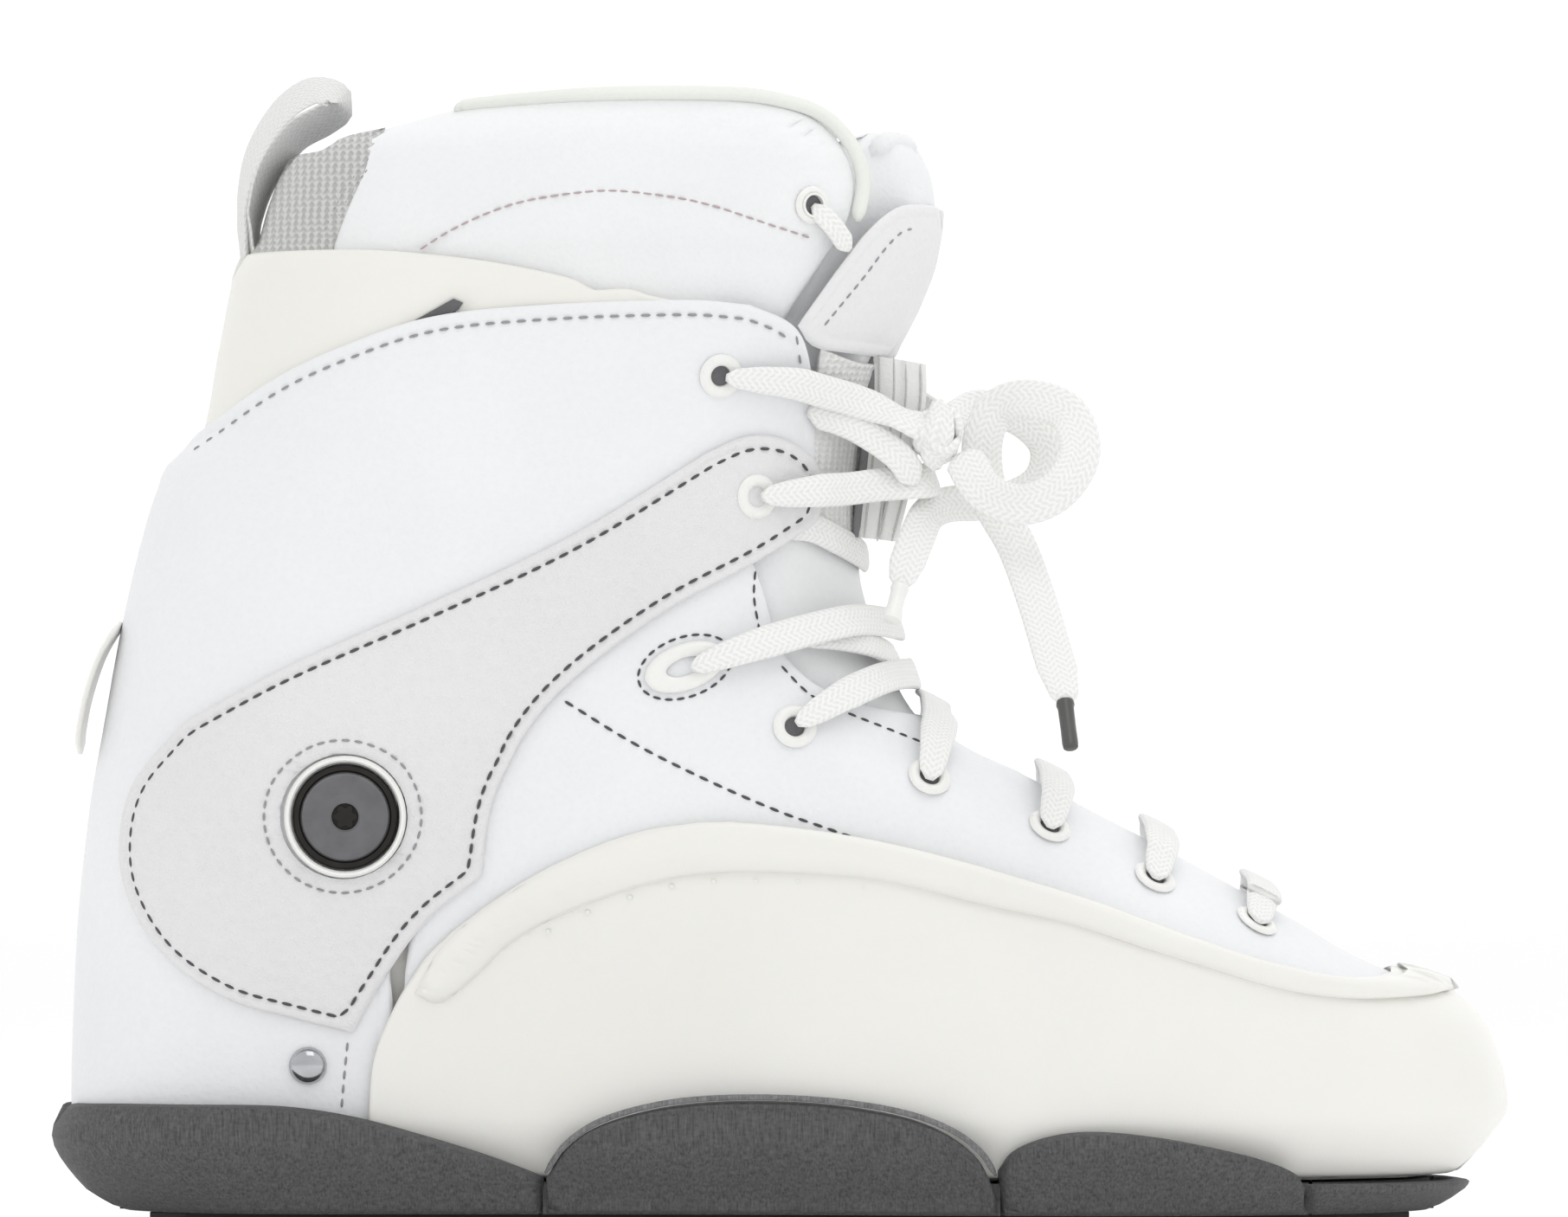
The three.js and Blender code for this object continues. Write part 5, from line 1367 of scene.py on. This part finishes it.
# ------------------------------------------------------------------ soles
def soul_piece(name, edge, x0, x1, home, node, body="boot"):
    """Side walls of one soul plate and its flat running face."""
    wrap = x0 < -140 or x1 > 140

    def relief(p, d):
        return -0.5 * smooth(1.3, 2.2, d) if name == "soul_arch_plate" else 0.25 * smooth(0, 3, d)

    for side, where in ((-1, "wall"),) if wrap else SIDES:
        wall = panel(f"{name}_{where}", edge, SOULS, *LAYERS["soul"], home, wrap=wrap, side=side,
                     round_edge=0.9, spacing=2.6, form=SOUL, extra=relief, slot="sole")
        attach(wall, body)
    bottom, top = 4.6, 11.5
    rows = []
    for x in np.linspace(x0, x1, 60):
        inside = np.clip(x, float(along(SOUL_BACK, 4.6)) + 0.05, float(along(SOUL_FRONT, 4.6)) - 0.05)
        half = float(SOUL.half(np.array(inside), np.array(4.6), -1.2))
        rows.append((inside, max(half, 0.3)))
    verts, faces = [], []
    section = [(-1, top), (-1, bottom + 0.9), (-0.985, bottom), (0.985, bottom), (1, bottom + 0.9), (1, top)]
    for x, half in rows:
        for f, z in section:
            verts.append((x, float(swing(x)) + f * half, z))
    m = len(section)
    for k in range(len(rows) - 1):
        for s in range(m):
            faces.append((k * m + s, k * m + (s + 1) % m, (k + 1) * m + (s + 1) % m, (k + 1) * m + s))
    faces.append(tuple(range(m)))
    faces.append(tuple((len(rows) - 1) * m + s for s in reversed(range(m))))
    plate = make(f"{name}_face", verts, faces, SOULS, body, split=40)
    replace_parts(plate, node)


def souls():
    z0 = 4.7
    back = float(along(SOUL_BACK, 27.9))
    heel = outline(
        (True, (back, 28), (-130, 28.2), (-110, 28), (-95, 26), (-80, 22.2), (-65, 17.6), (-51.8, 12.6)),
        (False, (-51.8, 12.6), (-51.8, z0), (float(along(SOUL_BACK, z0)), z0)),
    )
    soul_piece("soul_heel_plate", heel, float(along(SOUL_BACK, 5)), -51.8, "heel", "soul_heel")
    arch = outline(
        (False, (-50.8, 12.9), (-50.8, z0), (47.2, z0), (47.2, 8)),
        (True, (47.2, 8), (45, 13.5), (42, 18), (36, 22.6), (26, 26.2), (10, 28.6), (-8, 29.2), (-24, 28),
         (-38, 24.4), (-46, 19.5), (-50.8, 12.9)),
    )
    soul_piece("soul_arch_plate", arch, -50.8, 47.2, "heel", "soul_arch")
    front = outline(
        (False, (48.2, 14.6), (48.2, z0), (113.4, z0), (113.4, 12)),
        (True, (113.4, 12), (108, 15.4), (98, 18.6), (84, 21.4), (70, 22.8), (60, 22), (52, 19),
         (48.2, 14.6)),
    )
    soul_piece("soul_front_plate", front, 48.2, 113.4, "heel", "soul_front")
    toe_front = float(along(SOUL_FRONT, 11.2))
    toe = outline(
        (False, (toe_front, 11.3), (114.2, 11.3), (114.2, z0), (float(along(SOUL_FRONT, z0)), z0)),
    )
    soul_piece("toe_plate_body", toe, 114.2, float(along(SOUL_FRONT, 5)), "toe", "toe_plate")
    # a bead on the arch plate's real raised rim, lighter than the plate: painted highlight along that edge
    rim = spline([(-50.2, 13.4), (-45.4, 20.2), (-37.6, 25.2), (-24, 28.8), (-8, 30), (10, 29.4), (26, 27),
                  (36.6, 23.2), (42.8, 18.4), (46.2, 13.2)], 120)
    for side, where in SIDES:
        points, normals = [], []
        for x, z in rim:
            p, n, _ = side_frame(x, z, side, 0.0, SOUL)
            points.append(tuple(p - n * 0.5))
            normals.append(n)
        ribbon(f"soul_arch_rim_highlight_{where}", points, normals, 1.3, 1.3, SOUL_RIM_HIGHLIGHT, "boot", sides=12)


souls()


# ------------------------------------------------------------------ stitching and small trim
def sewn_lines(side, where):
    top = inset(outline((True, *WRAP_TOP[1:]), (True, *WRAP_FRONT),
                        (True, (8, 160), (-60, 120), (-133, 168.6))), 3.2)
    top = top[(top[:, 1] > 165) & ((top[:, 1] > 186) | (top[:, 0] < -60) | (top[:, 0] > -1))]
    keep = top[top[:, 1] > np.interp(top[:, 0], [-133, -110, -75, -20, 8], [164.5, 178, 192, 196, 160])]
    keep = keep[np.argsort(keep[:, 0])]
    stitch = thread_run(f"cuff_leather_{where}_stitch", keep[keep[:, 0] < 2], 0.06, THREAD_PALE, side,
                        3.3, 2.1, 0.65, body=None)
    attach(stitch, "cuff")
    front = spline([(3.4, 194), (4.6, 186), (5.2, 178)], 30)
    stitch = thread_run(f"cuff_front_{where}_stitch", front, 0.06, THREAD_PALE, side, 3.3, 2.1, 0.6,
                        body=None)
    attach(stitch, "cuff")
    seam = spline([(-46.5, 115), (-31, 105.5), (-15, 97.5), (0, 91), (10, 87.5), (22, 83.2)], 80)
    thread_run(f"vamp_{where}_seam", seam, 0.1, THREAD, side, 3.2, 2.2, 0.7, body="boot")
    throat = spline([(-5.2, 143), (-5.6, 137), (-4.2, 129)], 30)
    thread_run(f"throat_{where}_stitch", throat, 0.1, THREAD, side, 2.8, 2.0, 0.6, body="boot")
    lower = spline([(0, 122.6), (6, 116.4), (12, 113.2), (24, 108.4), (36, 103.6)], 50)
    thread_run(f"instep_{where}_stitch", lower, 0.1, THREAD, side, 2.8, 2.0, 0.6, body="boot")
    heel = spline([(-92.6, 42), (-93.4, 34), (-94, 27)], 30)
    thread_run(f"heel_{where}_stitch", heel, 0.05, THREAD_PALE, side, 3.0, 2.0, 0.6, body="boot")


mirror_sides(sewn_lines)


# ------------------------------------------------------------------ CAD pieces that stay, and the rest
STAY = {"lower_shell": SHELL, "footbed": FOAM, "heel_pad": PAD, "frame_block": BLOCK,
        "frame_insert_rear": STEEL_LOOK, "frame_insert_front": STEEL_LOOK}
for name, finish in STAY.items():
    obj = bpy.data.objects.get(name)
    if obj:
        for place in obj.material_slots:
            place.material = finish


# ------------------------------------------------------------------ stage and light
def plane(name, size, at, turn, color, glow=0.0):
    mesh = bpy.data.meshes.new(name)
    s = size / 2
    mesh.from_pydata([(-s, -s, 0), (s, -s, 0), (s, s, 0), (-s, s, 0)], [], [(0, 1, 2, 3)])
    obj = bpy.data.objects.new(name, mesh)
    obj.location, obj.rotation_euler = at, turn
    bpy.context.scene.collection.objects.link(obj)
    mat = bpy.data.materials.new(name + "_white")
    mat.use_nodes = True
    shader = mat.node_tree.nodes["Principled BSDF"]
    shader.inputs["Base Color"].default_value = (*color, 1)
    shader.inputs["Roughness"].default_value = 0.9
    shader.inputs["Emission Color"].default_value = (1, 1, 1, 1)
    shader.inputs["Emission Strength"].default_value = glow
    mesh.materials.append(mat)
    return obj


def lamp(name, at, target, size, power, shape="RECTANGLE", size_y=None):
    data = bpy.data.lights.new(name, "AREA")
    data.shape = shape
    data.size = size
    data.size_y = size_y or size
    data.energy = power
    obj = bpy.data.objects.new(name, data)
    obj.location = at
    obj.rotation_euler = (Vector(target) - Vector(at)).to_track_quat("-Z", "Y").to_euler()
    bpy.context.scene.collection.objects.link(obj)


plane("floor", 12, (0, 0, -0.0005), (0, 0, 0), (0.97, 0.97, 0.97), 0.06)
plane("backdrop", 14, (0, 5.9, 0), (math.radians(90), 0, 0), (0.2, 0.2, 0.2), 0.9)
world = bpy.data.worlds.new("studio")
world.use_nodes = True
world.node_tree.nodes["Background"].inputs["Color"].default_value = (1, 1, 1, 1)
world.node_tree.nodes["Background"].inputs["Strength"].default_value = 0.88
bpy.context.scene.world = world
lamp("key", (0.2, -0.9, 1.5), (0, 0, 0.12), 0.9, 2.6)
lamp("top", (0.3, 0.2, 1.5), (0, 0, 0.1), 1.0, 2.6)
